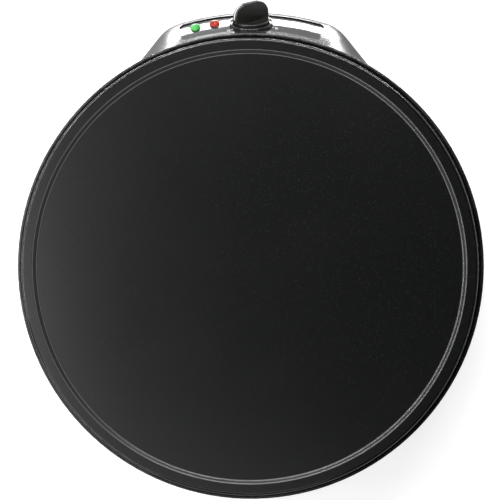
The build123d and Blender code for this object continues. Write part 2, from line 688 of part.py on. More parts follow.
# ---------------------------------------------------------------- bottom cover and feet
post_plane = Plane((0, AXIS_Y, COVER_BASE), x_dir=(1, 0, 0), z_dir=(0, 0, -1))
with BuildPart() as bottom_cover:
    with BuildSketch(level(COVER_BASE)):
        add(panel_outline(Plane.XY, PANEL_WALL + COVER_GAP))
        Circle(BASE_R - WALL - COVER_GAP)
    extrude(amount=COVER_THICK)
    with BuildSketch(level(COVER_TOP)):
        Circle(POST_R - COVER_RIB_INSET)
        Circle(POST_R - COVER_RIB_INSET - COVER_RIB_THICK, mode=Mode.SUBTRACT)
    extrude(amount=COVER_RIB_HEIGHT)
    with BuildSketch(level(COVER_TOP)):
        with PolarLocations(POST_R, POST_COUNT, start_angle=POST_START):
            Circle(TOWER_R)
    extrude(amount=TOWER_TOP - COVER_TOP, taper=TOWER_TAPER)
    head_hole_r = PLATE_SCREW_HEAD_R + PLATE_SCREW_HEAD_GAP
    with Locations(post_plane):
        with PolarLocations(POST_R, POST_COUNT, start_angle=POST_START):
            CounterBoreHole(SCREW_CLEAR_R, head_hole_r, PLATE_SCREW_SEAT)
    with BuildSketch(level(COVER_BASE)):
        with Locations(*columns):
            Circle(COVER_SCREW_HEAD_R + COVER_SCREW_HEAD_GAP)
    extrude(amount=COVER_SCREW_RECESS, mode=Mode.SUBTRACT)
    with BuildSketch(level(COVER_BASE)):
        with Locations(*columns):
            Circle(COVER_SCREW_R + COVER_SCREW_GAP)
        with PolarLocations(FOOT_CIRCLE_R, 4, start_angle=POST_START):
            Circle(FOOT_STEM_R)
        for vent_inset, vent_count in VENT_RINGS.items():
            with PolarLocations(POST_R - vent_inset, vent_count):
                SlotOverall(VENT_LENGTH, VENT_WIDTH)
    extrude(amount=COVER_THICK, mode=Mode.SUBTRACT)
bottom_cover.part.label = "bottom_cover"
export_step(bottom_cover.part, "parts/bottom_cover.step")

with BuildPart() as cover_screws:
    head_top = COVER_BASE + COVER_SCREW_RECESS
    with BuildSketch(level(head_top - COVER_SCREW_HEAD)):
        with Locations(*columns):
            Circle(COVER_SCREW_HEAD_R)
    extrude(amount=COVER_SCREW_HEAD)
    with BuildSketch(level(head_top)):
        with Locations(*columns):
            Circle(COVER_SCREW_R)
    extrude(amount=COVER_SCREW_LENGTH)
    fillet(cover_screws.edges().group_by(Axis.Z)[0], radius=COVER_SCREW_HEAD_ROUND)
cover_screws.part.label = "cover_screws"
export_step(cover_screws.part, "parts/cover_screws.step")

FOOT_NAMES = ("rear_right", "rear_left", "front_left", "front_right")
for number, foot_name in enumerate(FOOT_NAMES):
    azimuth = radians(POST_START + 90 * number)
    foot_x = FOOT_CIRCLE_R * cos(azimuth)
    foot_y = AXIS_Y + FOOT_CIRCLE_R * sin(azimuth)
    with BuildPart() as foot:
        with BuildSketch(Plane((foot_x, foot_y, 0), x_dir=(1, 0, 0), z_dir=(0, -1, 0))):
            with BuildLine():
                FilletPolyline(
                    (0, 0),
                    (FOOT_TIP_R, 0),
                    (FOOT_R, COVER_BASE),
                    (FOOT_STEM_R, COVER_BASE),
                    (FOOT_STEM_R, COVER_TOP),
                    (FOOT_BARB_R, COVER_TOP),
                    (FOOT_BARB_TIP_R, COVER_TOP + FOOT_BARB_HEIGHT),
                    (0, COVER_TOP + FOOT_BARB_HEIGHT),
                    radius=(0, FOOT_TIP_ROUND, FOOT_EDGE_ROUND, 0, 0, 0, 0, 0),
                    close=True,
                )
            make_face()
        revolve(axis=Axis((foot_x, foot_y, 0), (0, 0, 1)))
    foot.part.label = f"foot_{foot_name}"
    export_step(foot.part, f"parts/foot_{foot_name}.step")

# ---------------------------------------------------------------- fascia, bezel and knob
fascia_front = WINDOW_DEPTH - FASCIA_THICK
with BuildPart() as control_fascia:
    add(window_band(FASCIA_GAP, fascia_front, WINDOW_DEPTH))
    with BuildSketch(knob_plane(2 * PANEL_WALL)):
        Circle(BEZEL_SPIGOT_R)
    extrude(amount=2 * PANEL_WALL, mode=Mode.SUBTRACT)
    for side_angle in LAMP_ANGLES.values():
        with BuildSketch(panel_plane(side_angle, LAMP_HEIGHT, 2 * PANEL_WALL)):
            Circle(LENS_R)
        extrude(amount=2 * PANEL_WALL, mode=Mode.SUBTRACT)
control_fascia.part.label = "control_fascia"
export_step(control_fascia.part, "parts/control_fascia.step")

BEZEL_R = SKIRT_R + KNOB_GAP + BEZEL_RIM
bezel_bore_r = HUB_R + HUB_CLEARANCE
bezel_floor = BEZEL_TOP - BEZEL_DISH
with BuildPart() as knob_bezel:
    with BuildSketch(side_view(KNOB_FACE)):
        with BuildLine():
            FilletPolyline(
                (bezel_bore_r, bezel_floor),
                (BEZEL_R - BEZEL_RIM, bezel_floor),
                (BEZEL_R - BEZEL_RIM, BEZEL_TOP),
                (BEZEL_R, BEZEL_TOP),
                (BEZEL_R, -WINDOW_DEPTH),
                (BEZEL_SPIGOT_R, -WINDOW_DEPTH),
                (BEZEL_SPIGOT_R, -BEZEL_SPIGOT_LENGTH),
                (bezel_bore_r, -BEZEL_SPIGOT_LENGTH),
                radius=(0, BEZEL_DISH_ROUND, BEZEL_DISH_ROUND, BEZEL_EDGE_ROUND, 0, 0, BEZEL_DISH_ROUND, 0),
                close=True,
            )
        make_face()
    revolve(axis=KNOB_AXIS)
    add(control_fascia.part, mode=Mode.SUBTRACT)
    add(upper_housing.part, mode=Mode.SUBTRACT)
knob_bezel.part.label = "knob_bezel"
export_step(knob_bezel.part, "parts/knob_bezel.step")

pointer = radians(KNOB_REST_ANGLE)
pointer_dir = KNOB_FACE.x_dir * cos(pointer) + KNOB_FACE.y_dir * sin(pointer)
FIN_PLANE = Plane(KNOB_FACE.origin, x_dir=pointer_dir, z_dir=pointer_dir.cross(KNOB_FACE.z_dir))
SHAFT_PLANE = Plane(KNOB_FACE.origin, x_dir=pointer_dir, z_dir=KNOB_FACE.z_dir)
fin_front = SKIRT_R + FIN_FRONT_OVERHANG
fin_back = SKIRT_R + FIN_BACK_OVERHANG
with BuildPart() as grip_fin:
    with BuildSketch(FIN_PLANE):
        with BuildLine():
            FilletPolyline(
                (-fin_back, FIN_FOOT),
                (fin_front, FIN_FOOT),
                (fin_front, FIN_FRONT_TOP),
                (-fin_back, FIN_BACK_TOP),
                radius=(FIN_FOOT_ROUND, FIN_FOOT_ROUND, FIN_FRONT_ROUND, FIN_BACK_ROUND),
                close=True,
            )
        make_face()
    extrude(amount=FIN_THICK / 2, both=True)
    fillet(grip_fin.edges().filter_by(FIN_PLANE), radius=FIN_EDGE_ROUND)
hub_bore_r = SPINDLE_R + HUB_FIT
dish_floor = SKIRT_TOP - SKIRT_DISH
with BuildPart() as thermostat_knob:
    with BuildSketch(side_view(KNOB_FACE)):
        with BuildLine():
            FilletPolyline(
                (0, -HUB_LENGTH),
                (HUB_R, -HUB_LENGTH),
                (HUB_R, SKIRT_FOOT),
                (SKIRT_R, SKIRT_FOOT),
                (SKIRT_R, SKIRT_TOP),
                (SKIRT_R - SKIRT_RIM, SKIRT_TOP),
                (SKIRT_R / 2, dish_floor),
                (0, dish_floor),
                radius=(0, HUB_EDGE_ROUND, 0, SKIRT_FOOT_ROUND, SKIRT_EDGE_ROUND, SKIRT_RIM_ROUND, 0, 0),
                close=True,
            )
        make_face()
    revolve(axis=KNOB_AXIS)
    add(grip_fin.part)
    with BuildSketch(SHAFT_PLANE.offset(-HUB_LENGTH)):
        Circle(hub_bore_r)
        with Locations((SPINDLE_FLAT + CLIP_LEAF_THICK + hub_bore_r, 0)):
            Rectangle(2 * hub_bore_r, 2 * hub_bore_r, mode=Mode.SUBTRACT)
    extrude(amount=HUB_LENGTH + HUB_BORE_TOP, mode=Mode.SUBTRACT)
thermostat_knob.part.label = "thermostat_knob"
export_step(thermostat_knob.part, "parts/thermostat_knob.step")

bush_end = BUSH_START + BUSH_LENGTH
spindle_end = HUB_BORE_TOP - SPINDLE_END_GAP
with BuildPart() as thermostat_spindle:
    with BuildSketch(SHAFT_PLANE.offset(-bush_end)):
        Circle(SPINDLE_R)
    extrude(amount=bush_end + spindle_end)
    with BuildSketch(SHAFT_PLANE.offset(-bush_end - SPINDLE_TIP)):
        Circle(SPINDLE_TIP_R)
    extrude(amount=SPINDLE_TIP)
    with BuildSketch(SHAFT_PLANE.offset(spindle_end - SPINDLE_FLAT_LENGTH)):
        with Locations((SPINDLE_FLAT + SPINDLE_R, 0)):
            Rectangle(2 * SPINDLE_R, 2 * SPINDLE_R)
    extrude(amount=SPINDLE_FLAT_LENGTH, mode=Mode.SUBTRACT)
thermostat_spindle.part.label = "thermostat_spindle"
export_step(thermostat_spindle.part, "parts/thermostat_spindle.step")

with BuildPart() as knob_spring_clip:
    with BuildSketch(SHAFT_PLANE.offset(-HUB_LENGTH)):
        with Locations((SPINDLE_FLAT + CLIP_LEAF_THICK / 2, 0)):
            Rectangle(CLIP_LEAF_THICK, CLIP_LEAF_WIDTH)
    extrude(amount=CLIP_LEAF_LENGTH)
knob_spring_clip.part.label = "knob_spring_clip"
export_step(knob_spring_clip.part, "parts/knob_spring_clip.step")

ring_r = SPINDLE_R + RING_WIDTH
with BuildPart() as spindle_clip_ring:
    with BuildSketch(SHAFT_PLANE.offset(-BUSH_START + RING_GAP)):
        Circle(ring_r)
        Circle(SPINDLE_R, mode=Mode.SUBTRACT)
        with Locations((-ring_r, 0)):
            Rectangle(ring_r, SPINDLE_R, mode=Mode.SUBTRACT)
    extrude(amount=RING_THICK)
spindle_clip_ring.part.label = "spindle_clip_ring"
export_step(spindle_clip_ring.part, "parts/spindle_clip_ring.step")

# ---------------------------------------------------------------- thermostat
tab_height = thermostat_seat - BRACKET_THICK
leg_top = (thermostat_seat - KNOB_HEIGHT + BRACKET_DEPTH * sin(LEAN)) / cos(LEAN)
tab_outer = face_radius(KNOB_HEIGHT) - leg_top * sin(LEAN) - BRACKET_DEPTH * cos(LEAN)
tab_inner = RIM_R - THERMOSTAT_BOSS_INSET - BRACKET_TAB_SPARE
with BuildPart() as thermostat_bracket:
    with BuildSketch(knob_plane(BRACKET_DEPTH + BRACKET_THICK)):
        with Locations((0, (leg_top + BRACKET_LOW) / 2)):
            RectangleRounded(BRACKET_WIDTH, leg_top - BRACKET_LOW, BRACKET_CORNER_R)
    extrude(amount=BRACKET_THICK)
    with BuildSketch(level(tab_height)):
        with Locations((0, -(tab_outer + tab_inner) / 2)):
            RectangleRounded(BRACKET_WIDTH, tab_outer - tab_inner, BRACKET_CORNER_R)
    extrude(amount=BRACKET_THICK)
    with BuildSketch(level(tab_height)):
        with Locations(thermostat_boss_place):
            Circle(SCREW_CLEAR_R)
    extrude(amount=BRACKET_THICK, mode=Mode.SUBTRACT)
    with BuildSketch(knob_plane(BRACKET_DEPTH + BRACKET_THICK)):
        Circle(BUSH_R)
        with Locations((0, STACK_HEIGHT)):
            Circle(RIVET_R)
    extrude(amount=BRACKET_THICK, mode=Mode.SUBTRACT)
thermostat_bracket.part.label = "thermostat_bracket"
export_step(thermostat_bracket.part, "parts/thermostat_bracket.step")

with BuildPart() as thermostat_screw:
    with BuildSketch(level(tab_height - PLATE_SCREW_HEAD)):
        with Locations(thermostat_boss_place):
            Circle(PLATE_SCREW_HEAD_R)
    extrude(amount=PLATE_SCREW_HEAD)
    with BuildSketch(level(tab_height)):
        with Locations(thermostat_boss_place):
            Circle(PLATE_SCREW_R)
    extrude(amount=BRACKET_THICK + THERMOSTAT_SCREW_BITE)
    fillet(thermostat_screw.edges().group_by(Axis.Z)[0], radius=PLATE_SCREW_HEAD_ROUND)
thermostat_screw.part.label = "thermostat_screw"
export_step(thermostat_screw.part, "parts/thermostat_screw.step")

with BuildPart() as thermostat_bush:
    with BuildSketch(knob_plane(bush_end)):
        Circle(BUSH_R)
    extrude(amount=BUSH_LENGTH)
    with BuildSketch(knob_plane(BRACKET_DEPTH)):
        RegularPolygon(BUSH_HEX_R, 6)
    extrude(amount=BUSH_HEX_THICK)
    with BuildSketch(knob_plane(bush_end)):
        Circle(SPINDLE_R + BUSH_CLEARANCE)
    extrude(amount=BUSH_LENGTH, mode=Mode.SUBTRACT)
thermostat_bush.part.label = "thermostat_bush"
export_step(thermostat_bush.part, "parts/thermostat_bush.step")

with BuildPart() as thermostat_nut:
    with BuildSketch(knob_plane(BRACKET_DEPTH + BRACKET_THICK + BUSH_HEX_THICK)):
        RegularPolygon(BUSH_HEX_R, 6)
        Circle(BUSH_R, mode=Mode.SUBTRACT)
    extrude(amount=BUSH_HEX_THICK)
thermostat_nut.part.label = "thermostat_nut"
export_step(thermostat_nut.part, "parts/thermostat_nut.step")

# Depths of the stack's layers, from the bracket inward
washer_1 = BRACKET_DEPTH + BRACKET_THICK
arm_tag_front = washer_1 + WASHER_THICK
arm_tag_back = arm_tag_front + LEAF_THICK
arm_front = arm_tag_back + ARM_GAP
washer_2 = arm_front + ARM_THICK + ARM_GAP
leaf_front = washer_2 + LOWER_WASHER_THICK
washer_3 = leaf_front + LEAF_THICK
bimetal_front = washer_3 + LOWER_WASHER_THICK
washer_4 = bimetal_front + BIMETAL_THICK
stack_end = washer_4 + END_WASHER_THICK

washer_depths = {
    washer_1: arm_tag_front,
    washer_2: leaf_front,
    washer_3: bimetal_front,
    washer_4: stack_end,
}
with BuildPart() as ceramic_washers:
    for from_depth, to_depth in washer_depths.items():
        with BuildSketch(knob_plane(to_depth, STACK_HEIGHT)):
            Circle(WASHER_R)
            Circle(RIVET_R, mode=Mode.SUBTRACT)
        extrude(amount=to_depth - from_depth)
ceramic_washers.part.label = "ceramic_washers"
export_step(ceramic_washers.part, "parts/ceramic_washers.step")

with BuildPart() as stack_rivet:
    with BuildSketch(knob_plane(stack_end, STACK_HEIGHT)):
        Circle(RIVET_R)
    extrude(amount=stack_end - BRACKET_DEPTH)
    for head_depth in (BRACKET_DEPTH, stack_end + RIVET_HEAD_THICK):
        with BuildSketch(knob_plane(head_depth, STACK_HEIGHT)):
            Circle(RIVET_HEAD_R)
        extrude(amount=RIVET_HEAD_THICK)
stack_rivet.part.label = "stack_rivet"
export_step(stack_rivet.part, "parts/stack_rivet.step")

with BuildPart() as arm_terminal:
    with BuildSketch(knob_plane(arm_tag_back, STACK_HEIGHT)):
        with Locations((-(LEAF_TAG_REACH - WASHER_R) / 2, 0)):
            RectangleRounded(LEAF_TAG_REACH + WASHER_R, LEAF_TAG_WIDTH, LEAF_CORNER_R)
        Circle(WASHER_R)
        Circle(RIVET_R, mode=Mode.SUBTRACT)
    extrude(amount=LEAF_THICK)
arm_terminal.part.label = "arm_terminal"
export_step(arm_terminal.part, "parts/arm_terminal.step")

with BuildPart() as contact_arm:
    with BuildSketch(knob_plane(arm_front + ARM_THICK)):
        with Locations((0, (ARM_ROOT + ARM_TIP) / 2)):
            RectangleRounded(ARM_WIDTH, ARM_ROOT - ARM_TIP, LEAF_CORNER_R)
    extrude(amount=ARM_THICK)
    with BuildSketch(knob_plane(arm_front + ARM_THICK + CONTACT_THICK, CONTACT_HEIGHT)):
        Circle(CONTACT_R)
    extrude(amount=CONTACT_THICK)
    with BuildSketch(knob_plane(arm_front + ARM_THICK, STACK_HEIGHT)):
        SlotOverall(ARM_HOLE_R * 4, ARM_HOLE_R * 2, rotation=90)
    extrude(amount=ARM_THICK, mode=Mode.SUBTRACT)
contact_arm.part.label = "contact_arm"
export_step(contact_arm.part, "parts/contact_arm.step")

with BuildPart() as fixed_contact_leaf:
    with BuildSketch(knob_plane(washer_3)):
        with Locations((0, (LEAF_TOP + ARM_TIP) / 2)):
            RectangleRounded(ARM_WIDTH, LEAF_TOP - ARM_TIP, LEAF_CORNER_R)
        with Locations((LEAF_TAG_REACH / 2, STACK_HEIGHT)):
            RectangleRounded(LEAF_TAG_REACH, LEAF_TAG_WIDTH, LEAF_CORNER_R)
        with Locations((0, STACK_HEIGHT)):
            Circle(RIVET_R, mode=Mode.SUBTRACT)
    extrude(amount=LEAF_THICK)
    with BuildSketch(knob_plane(leaf_front, CONTACT_HEIGHT)):
        Circle(CONTACT_R)
    extrude(amount=CONTACT_THICK)
fixed_contact_leaf.part.label = "fixed_contact_leaf"
export_step(fixed_contact_leaf.part, "parts/fixed_contact_leaf.step")

with BuildPart() as bimetal_strip:
    with BuildSketch(knob_plane(washer_4)):
        with Locations((0, (LEAF_TOP + ARM_TIP) / 2)):
            RectangleRounded(ARM_WIDTH, LEAF_TOP - ARM_TIP, LEAF_CORNER_R)
        with Locations((0, STACK_HEIGHT)):
            Circle(RIVET_R, mode=Mode.SUBTRACT)
    extrude(amount=BIMETAL_THICK)
bimetal_strip.part.label = "bimetal_strip"
export_step(bimetal_strip.part, "parts/bimetal_strip.step")

with BuildPart() as actuator_pin:
    with BuildSketch(knob_plane(bimetal_front, CONTACT_HEIGHT)):
        Circle(ACTUATOR_R)
    extrude(amount=LOWER_WASHER_THICK)
actuator_pin.part.label = "actuator_pin"
export_step(actuator_pin.part, "parts/actuator_pin.step")

# ---------------------------------------------------------------- indicator lamps
lens_bore_r = LENS_R - LENS_WALL
lamp_r = lens_bore_r - LAMP_GAP
lens_bore_end = LAMP_START - LAMP_TIP_GAP
dome_foot = -fascia_front
dome_middle = (LENS_R * sin(quarter), dome_foot + LENS_DOME * sin(quarter))
flange_back = PANEL_WALL + LENS_FLANGE_THICK
flange_front = (PANEL_WALL + WINDOW_DEPTH) / 2
lamp_faces = {colour: panel_plane(angle, LAMP_HEIGHT) for colour, angle in LAMP_ANGLES.items()}
for colour, lamp_face in lamp_faces.items():
    with BuildPart() as lens:
        with BuildSketch(side_view(lamp_face)):
            with BuildLine():
                ThreePointArc((0, dome_foot + LENS_DOME), dome_middle, (LENS_R, dome_foot))
                Polyline(
                    (LENS_R, dome_foot),
                    (LENS_R, -LENS_TUBE_END),
                    (lens_bore_r, -LENS_TUBE_END),
                    (lens_bore_r, -lens_bore_end),
                    (0, -lens_bore_end),
                    (0, dome_foot + LENS_DOME),
                )
            make_face()
        revolve(axis=Axis(lamp_face.origin, lamp_face.z_dir))
        with BuildSketch(lamp_face.offset(-flange_back)):
            Circle(LENS_R + LENS_FLANGE)
            Circle(lens_bore_r, mode=Mode.SUBTRACT)
        extrude(amount=flange_back - flange_front)
        add(upper_housing.part, mode=Mode.SUBTRACT)
    lens.part.label = f"{colour}_lens"
    export_step(lens.part, f"parts/{colour}_lens.step")

    with BuildPart() as lamp:
        with BuildSketch(lamp_face.offset(-LAMP_END)):
            Circle(lamp_r)
        extrude(amount=LAMP_END - LAMP_START)
        tip = lamp.edges().group_by(Axis(lamp_face.origin, lamp_face.z_dir))[-1]
        fillet(tip, radius=LAMP_TIP_ROUND)
    lamp.part.label = f"{colour}_lamp"
    export_step(lamp.part, f"parts/{colour}_lamp.step")

holder_back = LENS_TUBE_END + HOLDER_THICK
with BuildPart() as lamp_holder:
    with BuildSketch(panel_plane(holder_angle, LAMP_HEIGHT, holder_back)):
        RectangleRounded(2 * (holder_post + HOLDER_SCREW_INSET), HOLDER_HEIGHT, HOLDER_CORNER_R)
        with Locations(*holder_posts):
            Circle(COVER_SCREW_R + COVER_SCREW_GAP, mode=Mode.SUBTRACT)
    extrude(amount=HOLDER_THICK)
    for lamp_face in lamp_faces.values():
        with BuildSketch(lamp_face.offset(-holder_back - HOLDER_RECESS)):
            Circle(lamp_r)
        extrude(amount=HOLDER_THICK + HOLDER_RECESS, mode=Mode.SUBTRACT)
        with BuildSketch(lamp_face.offset(-LENS_TUBE_END)):
            Circle(LENS_R)
        extrude(amount=HOLDER_RECESS, mode=Mode.SUBTRACT)
lamp_holder.part.label = "lamp_holder"
export_step(lamp_holder.part, "parts/lamp_holder.step")

with BuildPart() as holder_screws:
    with BuildSketch(panel_plane(holder_angle, LAMP_HEIGHT, holder_back + COVER_SCREW_HEAD)):
        with Locations(*holder_posts):
            Circle(COVER_SCREW_HEAD_R)
    extrude(amount=COVER_SCREW_HEAD)
    with BuildSketch(panel_plane(holder_angle, LAMP_HEIGHT, holder_back)):
        with Locations(*holder_posts):
            Circle(COVER_SCREW_R)
    extrude(amount=HOLDER_THICK + HOLDER_SCREW_BITE)
holder_screws.part.label = "holder_screws"
export_step(holder_screws.part, "parts/holder_screws.step")

# ---------------------------------------------------------------- mains side
inlet_outer = inlet_wall_r + INLET_FLANGE_THICK
inlet_inner = inlet_outer - INLET_LENGTH
with BuildPart() as cord_inlet_bush:
    with BuildSketch(Plane((0, AXIS_Y, INLET_HEIGHT), x_dir=(1, 0, 0), z_dir=(0, 0, 1))):
        with BuildLine():
            FilletPolyline(
                (INLET_BORE_R, inlet_outer),
                (INLET_FLANGE_R, inlet_outer),
                (INLET_FLANGE_R, inlet_inner + INLET_NOSE),
                (INLET_HOLE_R, inlet_inner),
                (INLET_BORE_R, inlet_inner),
                radius=(INLET_MOUTH_ROUND, INLET_EDGE_ROUND, INLET_EDGE_ROUND, INLET_EDGE_ROUND, 0),
                close=True,
            )
        make_face()
    revolve(axis=Axis((0, AXIS_Y, INLET_HEIGHT), (0, 1, 0)))
    add(upper_housing.part, mode=Mode.SUBTRACT)
cord_inlet_bush.part.label = "cord_inlet_bush"
export_step(cord_inlet_bush.part, "parts/cord_inlet_bush.step")

block_circle_r = BASE_R - BLOCK_INSET
block_azimuth = radians(BLOCK_AZIMUTH)
block_plane = Plane(
    (block_circle_r * cos(block_azimuth), AXIS_Y + block_circle_r * sin(block_azimuth), COVER_TOP),
    x_dir=(-sin(block_azimuth), cos(block_azimuth), 0),
    z_dir=(0, 0, 1),
)
pole_pitch = BLOCK_LENGTH / BLOCK_POLES
with BuildPart() as terminal_block:
    with BuildSketch(block_plane):
        RectangleRounded(BLOCK_LENGTH, BLOCK_WIDTH, BLOCK_CORNER_R)
    extrude(amount=BLOCK_HEIGHT)
    with BuildSketch(block_plane.offset(BLOCK_HEIGHT)):
        with GridLocations(pole_pitch, BLOCK_WIDTH, BLOCK_POLES - 1, 1):
            Rectangle(BLOCK_SLOT, BLOCK_WIDTH)
    extrude(amount=-BLOCK_HEIGHT / 2, mode=Mode.SUBTRACT)
    with BuildSketch(block_plane.offset(BLOCK_HEIGHT)):
        with GridLocations(pole_pitch, BLOCK_WIDTH / 2, BLOCK_POLES, 2):
            Circle(BLOCK_SCREW_R)
    extrude(amount=-BLOCK_HEIGHT / 2, mode=Mode.SUBTRACT)
terminal_block.part.label = "terminal_block"
export_step(terminal_block.part, "parts/terminal_block.step")

with BuildPart() as terminal_screws:
    with BuildSketch(block_plane.offset(BLOCK_HEIGHT / 2)):
        with GridLocations(pole_pitch, BLOCK_WIDTH / 2, BLOCK_POLES, 2):
            Circle(BLOCK_SCREW_R)
    extrude(amount=BLOCK_HEIGHT / 2 - BLOCK_SCREW_LOW)
terminal_screws.part.label = "terminal_screws"
export_step(terminal_screws.part, "parts/terminal_screws.step")

fuse_seat = fuse_boss_end - FUSE_CLIP_THICK
fuse_middle = Vector(fuse_middle_x, AXIS_Y, fuse_seat - FUSE_R)
strip_length = FUSE_CLIP_END + FUSE_REACH
with BuildPart() as fuse_clip:
    with BuildSketch(Plane(fuse_middle, x_dir=(1, 0, 0), z_dir=(0, -1, 0))):
        with Locations((-strip_length / 2, FUSE_R + FUSE_CLIP_THICK / 2)):
            Rectangle(strip_length, FUSE_CLIP_THICK)
        Circle(FUSE_R + FUSE_CLIP_THICK)
        Circle(FUSE_R, mode=Mode.SUBTRACT)
    extrude(amount=FUSE_CLIP_WIDTH / 2, both=True)
    with BuildSketch(level(fuse_seat)):
        with Locations((FUSE_X, 0)):
            Circle(SCREW_CLEAR_R)
    extrude(amount=FUSE_CLIP_THICK, mode=Mode.SUBTRACT)
fuse_clip.part.label = "fuse_clip"
export_step(fuse_clip.part, "parts/fuse_clip.step")

with BuildPart() as fuse_screw:
    with BuildSketch(level(fuse_seat - PLATE_SCREW_HEAD)):
        with Locations((FUSE_X, 0)):
            Circle(PLATE_SCREW_HEAD_R)
    extrude(amount=PLATE_SCREW_HEAD)
    with BuildSketch(level(fuse_seat)):
        with Locations((FUSE_X, 0)):
            Circle(PLATE_SCREW_R)
    extrude(amount=FUSE_CLIP_THICK + FUSE_SCREW_BITE)
    fillet(fuse_screw.edges().group_by(Axis.Z)[0], radius=PLATE_SCREW_HEAD_ROUND)
fuse_screw.part.label = "fuse_screw"
export_step(fuse_screw.part, "parts/fuse_screw.step")

with BuildPart() as thermal_fuse:
    with BuildSketch(Plane(fuse_middle, x_dir=(1, 0, 0), z_dir=(0, 1, 0))):
        Circle(FUSE_R)
    extrude(amount=FUSE_LENGTH / 2, both=True)
    chamfer(thermal_fuse.edges().filter_by(GeomType.CIRCLE), length=FUSE_CHAMFER)
thermal_fuse.part.label = "thermal_fuse"
export_step(thermal_fuse.part, "parts/thermal_fuse.step")

earth_tag_under = SHIELD_HEIGHT - EARTH_TAG_THICK
with BuildPart() as earth_tag:
    with BuildSketch(level(earth_tag_under)):
        with Locations((EARTH_X, EARTH_Y)):
            Circle(EARTH_TAG_R)
        with Locations((EARTH_X + EARTH_TAG_REACH / 2, EARTH_Y)):
            Rectangle(EARTH_TAG_REACH, EARTH_TAG_WIDTH)
        with Locations((EARTH_X, EARTH_Y)):
            Circle(COVER_SCREW_R + COVER_SCREW_GAP, mode=Mode.SUBTRACT)
    extrude(amount=EARTH_TAG_THICK)
earth_tag.part.label = "earth_tag"
export_step(earth_tag.part, "parts/earth_tag.step")

with BuildPart() as earth_screw:
    with BuildSketch(level(earth_tag_under - COVER_SCREW_HEAD)):
        with Locations((EARTH_X, EARTH_Y)):
            Circle(COVER_SCREW_HEAD_R)
    extrude(amount=COVER_SCREW_HEAD)
    with BuildSketch(level(earth_tag_under)):
        with Locations((EARTH_X, EARTH_Y)):
            Circle(COVER_SCREW_R)
    extrude(amount=SHIELD_TOP + EARTH_SCREW_END - earth_tag_under)
    fillet(earth_screw.edges().group_by(Axis.Z)[0], radius=COVER_SCREW_HEAD_ROUND)
earth_screw.part.label = "earth_screw"
export_step(earth_screw.part, "parts/earth_screw.step")

with BuildPart() as earth_nut:
    with BuildSketch(level(SHIELD_TOP)):
        with Locations((EARTH_X, EARTH_Y)):
            RegularPolygon(COVER_SCREW_HEAD_R, 6)
            Circle(COVER_SCREW_R, mode=Mode.SUBTRACT)
    extrude(amount=COVER_SCREW_HEAD)
earth_nut.part.label = "earth_nut"
export_step(earth_nut.part, "parts/earth_nut.step")

# ---------------------------------------------------------------- leads
# Each lead runs face to face with its two terminals; the points between are chosen by hand
inward = block_plane.y_dir
poles = []
for pole in range(BLOCK_POLES):
    along = block_plane.x_dir * pole_pitch * (pole - (BLOCK_POLES - 1) / 2)
    poles.append(block_plane.origin + along + inward * BLOCK_WIDTH / 2 + Vector(0, 0, LEAD_HEIGHT))
earth_pole, neutral_pole, live_pole = sorted(poles, key=lambda pole: pole.X)
left_tab, right_tab = [end - Vector(0, 0, SEAL_LENGTH + TAB_LENGTH) for end in element_ends]
tag_middle = LEAF_TAG_REACH - LEAF_TAG_WIDTH / 2
leaf_tag = knob_plane(washer_3, STACK_HEIGHT).origin + KNOB_FACE.x_dir * tag_middle
arm_tag = knob_plane(arm_tag_back, STACK_HEIGHT).origin - KNOB_FACE.x_dir * tag_middle
behind = -KNOB_FACE.z_dir
lead_level = COVER_TOP + LEAD_HEIGHT
earth_end = Vector(EARTH_X + EARTH_TAG_REACH - EARTH_TAG_WIDTH / 2, AXIS_Y + EARTH_Y, earth_tag_under)
fuse_front = fuse_middle - Vector(0, FUSE_LENGTH / 2, 0)
fuse_back = fuse_middle + Vector(0, FUSE_LENGTH / 2, 0)
above_front_grommet = fuse_middle - Vector(0, GROMMET_OFFSET, 0)
above_back_grommet = fuse_middle + Vector(0, GROMMET_OFFSET, 0)
lead_routes = {
    "live_lead": [
        live_pole,
        live_pole + inward * MIDDLE_LEAD_RUN,
        Vector(LIVE_LEAD_X, AXIS_Y + LIVE_LEAD_Y, lead_level),
        leaf_tag + behind * MIDDLE_LEAD_RUN,
        leaf_tag,
    ],
    "neutral_lead": [
        neutral_pole,
        neutral_pole + inward * LONG_LEAD_RUN,
        Vector(right_tab.X, right_tab.Y, lead_level),
        right_tab,
    ],
    "earth_lead": [
        earth_pole,
        earth_pole + inward * SHORT_LEAD_RUN,
        Vector(earth_end.X, earth_end.Y, lead_level),
        earth_end,
    ],
    "switched_lead": [
        arm_tag,
        arm_tag + behind * SWITCHED_LEAD_RISE,
        Vector(above_front_grommet.X, above_front_grommet.Y, lead_level + SWITCHED_LEAD_RISE),
        above_front_grommet,
        fuse_front,
    ],
    "fuse_lead": [
        fuse_back,
        above_back_grommet,
        Vector(above_back_grommet.X, above_back_grommet.Y, lead_level),
        Vector(left_tab.X, left_tab.Y, lead_level),
        left_tab,
    ],
}
for lead_name, route in lead_routes.items():
    with BuildPart() as lead:
        with BuildLine() as lead_path:
            FilletPolyline(*route, radius=LEAD_BEND)
        with BuildSketch(Plane(origin=lead_path.wire() @ 0, z_dir=lead_path.wire() % 0)):
            Circle(LEAD_R)
        sweep(path=lead_path.wire())
    lead.part.label = lead_name
    export_step(lead.part, f"parts/{lead_name}.step")
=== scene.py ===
# %% [markdown]
# # Dressing an electric crepe maker
# The crepe maker arrives as solids of the real size: a cast cooking plate on a moulded
# housing, with a thermostat knob and two lamps on a sloped panel. Here it gets its
# surfaces. Nothing is moved or resized, so every finish has to come from light, from
# shader nodes and from small pieces of mesh that sit on the solids.

# %% Load the frame
import json
import math

import bmesh
import bpy
from mathutils import Matrix, Vector


